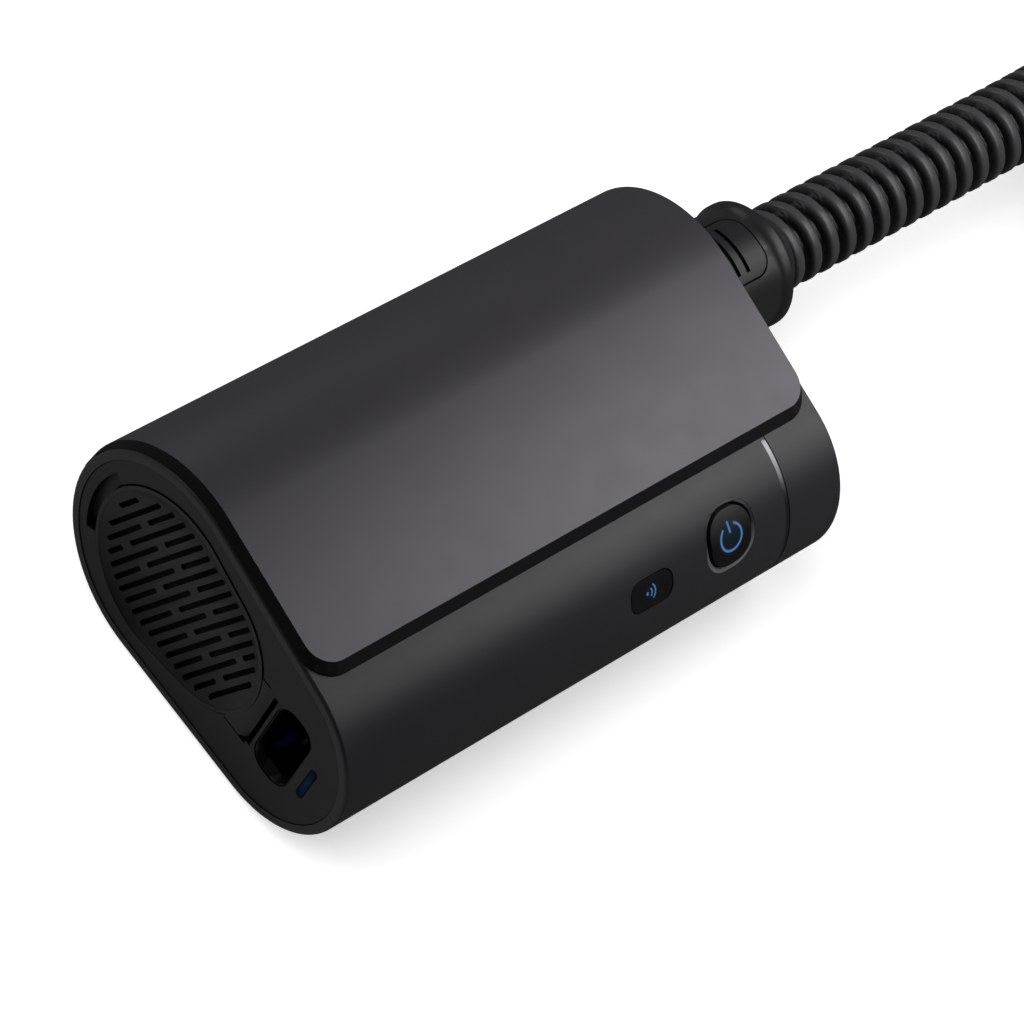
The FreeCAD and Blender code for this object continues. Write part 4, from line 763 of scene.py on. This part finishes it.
def stroke(name, line, width, place, thickness):
    """Closed bar along a flat line of (x, y) points; place is (middle x, angle, face radius)."""
    heading = np.gradient(line, axis=0)
    heading /= np.linalg.norm(heading, axis=1, keepdims=True)
    aside = np.stack([-heading[:, 1], heading[:, 0]], axis=-1)
    steps = np.concatenate([[0.0], np.cumsum(np.linalg.norm(np.diff(line, axis=0), axis=1))])
    to_end = np.minimum(steps, steps[-1] - steps)
    round_end = np.clip(to_end / (width / 2), 0.02, 1.0)
    half = width / 2 * np.sqrt(1 - (1 - round_end) ** 2)
    flat = line[:, None] + aside[:, None] * (half[:, None] * STROKE_PROFILE[None, :, 0])[..., None]
    top = on_front(flat, *place)
    bottom = on_front(flat, place[0], place[1], place[2] - thickness)
    points = np.where(STROKE_PROFILE[None, :, 1:] > 0.5, top, bottom)
    mesh = grid_mesh(name, points, ring=True, closed=True)
    across = np.abs(STROKE_PROFILE[:, 0])[None, :] * np.ones((len(line), 1))
    mark(mesh, "edge", np.maximum(across, 1 - round_end[:, None]))
    mesh.materials.append(finish["symbol_glow"])
    return mesh


def arc_line(radius, start, end, middle=(0.0, 0.0), count=40):
    """Points of an arc between two angles in degrees, packed closer at its ends."""
    share = (1 - np.cos(np.linspace(0, np.pi, count))) / 2
    angle = np.radians(start + (end - start) * share)
    return np.array(middle) + radius * np.stack([np.cos(angle), np.sin(angle)], axis=-1)


def straight_line(start, end, count=24):
    """Points of a straight line, packed closer at its ends."""
    share = (1 - np.cos(np.linspace(0, np.pi, count))) / 2
    return np.array(start) + share[:, None] * (np.array(end) - np.array(start))


def symbol(name, lines, width, place, depth, body, node):
    """Join the strokes of one symbol into a piece that stands for its CAD node."""
    work = bmesh.new()
    for number, line in enumerate(lines):
        mesh = stroke(f"{name}_{number}", line, width, place, depth)
        work.from_mesh(mesh)
        bpy.data.meshes.remove(mesh)
    bmesh.ops.recalc_face_normals(work, faces=work.faces)
    joined = bpy.data.meshes.new(name)
    work.to_mesh(joined)
    work.free()
    joined.materials.append(finish["symbol_glow"])
    return add_piece(name, joined, body, [node])


def turned_by(line, degrees):
    """Turn flat points about the symbol's middle."""
    c, s = math.cos(math.radians(degrees)), math.sin(math.radians(degrees))
    return line @ np.array([[c, s], [-s, c]])


# middle along the housing, angle round the front in degrees, radius of the face
POWER_PLACE = (0.0361, 42.6, 0.0223)
POWER_SYMBOL = 0.00295
POWER_STROKE = 0.00068
PAIRING_PLACE = (0.0134, 37.3, 0.0219)
PAIRING_STROKE = 0.00042
SYMBOL_DEPTH = 0.0003
SYMBOL_TURN = 8.0
RADIO_START = (-0.0012, 0.0)
RADIO_SPREAD = 47.0
standby = [
    turned_by(arc_line(POWER_SYMBOL, 119.0, 421.0, count=72), SYMBOL_TURN),
    turned_by(straight_line((0, 0.31 * POWER_SYMBOL), (0, 1.29 * POWER_SYMBOL)), SYMBOL_TURN),
]
power = (POWER_STROKE, POWER_PLACE, SYMBOL_DEPTH, "power_button_body", "power_light")
symbol("power_symbol", standby, *power)
radio = [
    arc_line(0.00021, 0.0, 358.0, RADIO_START),
    arc_line(0.00125, -RADIO_SPREAD, RADIO_SPREAD, RADIO_START),
    arc_line(0.00220, -RADIO_SPREAD, RADIO_SPREAD, RADIO_START),
]
pairing = (PAIRING_STROKE, PAIRING_PLACE, SYMBOL_DEPTH, "pairing_button_body", "pairing_light")
symbol("pairing_symbol", radio, *pairing)
print("symbols drawn from", len(standby) + len(radio), "strokes")

# %% [markdown]
# ## The hose's path
# The hose leaves the collar straight, sinks to the floor and winds into a neat coil, where the
# length that isn't in use is put away. Its line is one smooth NURBS spline through a few control
# points. The coil's points come from a loop: each turn has sixteen, and each climbs by a
# diameter a turn.
# %% Lay the hose
HOSE_DIAMETER = 0.019
REST_HEIGHT = 0.0097
COIL_RADIUS = 0.0975
COIL_SETTLE = 0.0007
COIL_RISE = 0.0193
COIL_TURNS = 2.6875
CUFF_HEIGHT = 0.0656
TURN_POINTS = 16
route = [
    (0.0995, 0.016, 0.0264),
    (0.1680, 0.016, 0.0264),
    (0.1973, 0.016, 0.0264),
    (0.2465, 0.02468, REST_HEIGHT),
    (0.2810, 0.03076, REST_HEIGHT),
]
heading = math.atan2(route[-1][1] - route[-2][1], route[-1][0] - route[-2][0])
start_angle = heading + math.pi / 2
start_side = np.array([math.cos(start_angle), math.sin(start_angle)])
coil_middle = np.array(route[-1][:2]) - COIL_RADIUS * start_side
step = 2 * math.pi / TURN_POINTS
control_radius = (COIL_RADIUS - COIL_SETTLE) / math.cos(step / 2)
end_lift = CUFF_HEIGHT - REST_HEIGHT - COIL_RISE * COIL_TURNS
for count in range(round(COIL_TURNS * TURN_POINTS)):
    turns = (count + 0.5) / TURN_POINTS
    angle = start_angle - 2 * math.pi * turns
    last_half = max(0.0, turns - (COIL_TURNS - 0.5)) / 0.5
    route.append(
        (
            coil_middle[0] + control_radius * math.cos(angle),
            coil_middle[1] + control_radius * math.sin(angle),
            REST_HEIGHT + COIL_RISE * turns + end_lift * last_half**2,
        )
    )
end_angle = start_angle - 2 * math.pi * COIL_TURNS
route.append(
    (
        coil_middle[0] + COIL_RADIUS * math.cos(end_angle),
        coil_middle[1] + COIL_RADIUS * math.sin(end_angle),
        CUFF_HEIGHT,
    )
)


def spline_points(points, resolution):
    """Points along the quadratic NURBS spline of some control points, as an array."""
    data = bpy.data.curves.new("hose_line", "CURVE")
    data.dimensions = "3D"
    data.resolution_u = resolution
    spline = data.splines.new("NURBS")
    spline.points.add(len(points) - 1)
    for point, place in zip(spline.points, points):
        point.co = (*place, 1.0)
    spline.order_u = 3
    spline.use_endpoint_u = True
    line = bpy.data.objects.new("hose_line", data)
    mesh = bpy.data.meshes.new_from_object(line)
    places = np.empty(len(mesh.vertices) * 3)
    mesh.vertices.foreach_get("co", places)
    bpy.data.objects.remove(line)
    bpy.data.meshes.remove(mesh)
    bpy.data.curves.remove(data)
    return places.reshape(-1, 3)


line = spline_points(route, 48)
if np.linalg.norm(line[0] - np.array(route[0])) > 0.001:
    line = line[::-1]
gone = np.concatenate([[0.0], np.cumsum(np.linalg.norm(np.diff(line, axis=0), axis=1))])
print("hose line", len(line), "points,", round(gone[-1], 4), "m")

# %% [markdown]
# ## The hose's ribs
# Such a hose is a soft wall with a stiff bead wound round it as a screw. A point of the surface
# is its place on the path plus a radius that depends on how far along it is and on its angle
# round the hose, so one formula gives every turn of the bead. Steps are finer near the machine.
# %% Wind the ribbed hose
RIB_PITCH = 0.0054
RIB_DEPTH = 0.0019
RIB_SHARE = 0.64
BEAD_POWER, BEAD_ROOT = 4.0, 2.4
NEAR_LENGTH = 0.17
NEAR_STEPS, FAR_STEPS = 18, 6
ROUND = 32


def along_hose(distance):
    """Places and directions on the hose's line at some distances from the collar."""
    place = np.stack([np.interp(distance, gone, line[:, k]) for k in range(3)], axis=-1)
    heading = np.gradient(place, distance, axis=0)
    heading /= np.linalg.norm(heading, axis=1, keepdims=True)
    side = np.cross(heading, [0.0, 0.0, 1.0])
    side /= np.linalg.norm(side, axis=1, keepdims=True)
    return place, side, np.cross(side, heading)


def rib_profile(phase):
    """Height of the wall from 0 in the valley to 1 on the bead: a full rounded bead, a flat valley.

    phase counts turns of the bead. The distance from the bead's middle runs from 0 to 1 over the
    bead's share of the pitch, and the height is a superellipse of it: (1 - distance^4)^(1 / 2.4).
    """
    across = np.abs(2 * (phase % 1.0) - 1.0) / RIB_SHARE
    return (1.0 - np.minimum(across, 1.0) ** BEAD_POWER) ** (1 / BEAD_ROOT)


near = np.arange(0.0, NEAR_LENGTH, RIB_PITCH / NEAR_STEPS)
far = np.arange(near[-1] + RIB_PITCH / FAR_STEPS, gone[-1], RIB_PITCH / FAR_STEPS)
distance = np.concatenate([near, far[:-1], [gone[-1]]])
place, side, up = along_hose(distance)
angles = np.linspace(0.0, 2 * np.pi, ROUND, endpoint=False)
phase = distance[:, None] / RIB_PITCH + angles[None, :] / (2 * np.pi)
height = rib_profile(phase)
radius = HOSE_DIAMETER / 2 - RIB_DEPTH * (1.0 - height)
cosine = (radius * np.cos(angles))[..., None]
sine = (radius * np.sin(angles))[..., None]
surface = place[:, None] + side[:, None] * cosine + up[:, None] * sine
hose_mesh = grid_mesh("ribbed_hose", surface, closed=True)
mark(hose_mesh, "height", height)
hose_mesh.materials.append(finish["hose_satin"])
hose = add_piece("ribbed_hose", hose_mesh, BODY, ["hose", "hose_coil"])
print("hose faces", len(hose_mesh.polygons))

# %% [markdown]
# ## Floor and light
# The machine stands on a plain pale floor, white to the camera and through clear parts. To the
# light that it throws back on the machine it is darker, so the dark housing keeps its shape. Three
# soft lamps stand over the hose end and the front, so the cover grows brighter towards them. One
# behind and one beyond the filter end draw the far edges, and one wide lamp lights only the floor,
# where it gives the soft shadow.
# %% Make the floor, the lamps and the world
FLOOR_GLOW = 0.52
END_MIRRORED = 0.22
FLOOR_MIRRORED = 0.02
FLOOR_BOUNCE = 0.06
SKY_LEVEL = 0.03
WHITE = (1.0, 1.0, 1.0, 1.0)
FLOOR_COLOUR = (0.80, 0.80, 0.80)
MIRROR_END_X, MIRROR_FRONT_X = -0.080, -0.062


def floor_material():
    """White for the camera and through clear parts, grey in reflections, dark for bounced light."""
    material, nodes, links, shader = new_material("studio_floor")
    path = nodes.new("ShaderNodeLightPath")
    seen = nodes.new("ShaderNodeMath")
    seen.operation = "MAXIMUM"
    links.new(path.outputs["Is Camera Ray"], seen.inputs[0])
    links.new(path.outputs["Is Transmission Ray"], seen.inputs[1])
    stops = [(0.0, (FLOOR_BOUNCE,) * 3), (1.0, FLOOR_COLOUR)]
    grey = blend_colour(nodes, links, seen.outputs[0], stops)
    links.new(grey, shader.inputs["Base Color"])
    shader.inputs["Roughness"].default_value = 1.0
    shader.inputs["Specular IOR Level"].default_value = 0.0
    shader.inputs["Emission Color"].default_value = WHITE
    glow = nodes.new("ShaderNodeMath")
    glow.operation = "MULTIPLY"
    glow.inputs[1].default_value = FLOOR_GLOW
    links.new(seen.outputs[0], glow.inputs[0])
    where = nodes.new("ShaderNodeTexCoord")
    split = nodes.new("ShaderNodeSeparateXYZ")
    links.new(where.outputs["Object"], split.inputs["Vector"])
    ends = (MIRROR_END_X, MIRROR_FRONT_X, END_MIRRORED, FLOOR_MIRRORED)
    by_end = ramp(nodes, links, split.outputs["X"], *ends)
    mirrored = nodes.new("ShaderNodeMath")
    mirrored.operation = "MULTIPLY_ADD"
    links.new(path.outputs["Is Glossy Ray"], mirrored.inputs[0])
    links.new(by_end, mirrored.inputs[1])
    links.new(glow.outputs[0], mirrored.inputs[2])
    links.new(mirrored.outputs[0], shader.inputs["Emission Strength"])
    return material


floor_points = np.array([[[-6, -6, 0], [6, -6, 0]], [[-6, 6, 0], [6, 6, 0]]], float)
floor_mesh = grid_mesh("floor", floor_points, ring=False)
floor_mesh.materials.append(floor_material())
floor = bpy.data.objects.new("floor", floor_mesh)
bpy.context.scene.collection.objects.link(floor)


def square_lamp(name, place, width, power):
    """Soft square lamp of a width at a place, facing the machine's middle."""
    data = bpy.data.lights.new(name, "AREA")
    data.shape = "RECTANGLE"
    data.size = width
    data.size_y = width
    data.energy = power
    lamp = bpy.data.objects.new(name, data)
    lamp.location = place
    lamp.rotation_euler = (Vector(MIDDLE) - Vector(place)).to_track_quat("-Z", "Y").to_euler()
    bpy.context.scene.collection.objects.link(lamp)


MIDDLE = (0.0, 0.0, 0.03)
# place, width, power in watts
LAMPS = {
    "near_lamp": ((0.30, -0.05, 0.36), 0.2, 0.31),
    "near_front_lamp": ((0.28, -0.22, 0.32), 0.2, 0.23),
    "far_lamp": ((0.55, -0.25, 0.75), 0.4, 0.32),
    "back_lamp": ((0.2, 1.2, 0.6), 0.6, 1.34),
    "end_lamp": ((-0.9, 0.7, 0.5), 0.4, 0.75),
}
for name, values in LAMPS.items():
    square_lamp(name, *values)

SUN_POWER = 2.1
SUN_WIDTH = 50.0
SUN_HEADING = (0.62, -0.32, -1.0)
sun_data = bpy.data.lights.new("floor_lamp", "SUN")
sun_data.energy = SUN_POWER
sun_data.angle = math.radians(SUN_WIDTH)
floor_lamp = bpy.data.objects.new("floor_lamp", sun_data)
floor_lamp.rotation_euler = Vector(SUN_HEADING).to_track_quat("-Z", "Y").to_euler()
bpy.context.scene.collection.objects.link(floor_lamp)
lit = bpy.data.collections.new("lit_by_floor_lamp")
lit.objects.link(floor)
floor_lamp.light_linking.receiver_collection = lit

world = bpy.data.worlds.new("studio")
bpy.context.scene.world = world
world.use_nodes = True
sky = world.node_tree.nodes["Background"]
sky.inputs["Color"].default_value = WHITE
path = world.node_tree.nodes.new("ShaderNodeLightPath")
level = world.node_tree.nodes.new("ShaderNodeMapRange")
level.inputs["To Min"].default_value = SKY_LEVEL
level.inputs["To Max"].default_value = 1.0
world.node_tree.links.new(path.outputs["Is Camera Ray"], level.inputs["Value"])
world.node_tree.links.new(level.outputs["Result"], sky.inputs["Strength"])
bpy.context.scene.view_settings.view_transform = "Standard"
print(len(LAMPS) + 1, "lamps, sky level", SKY_LEVEL)
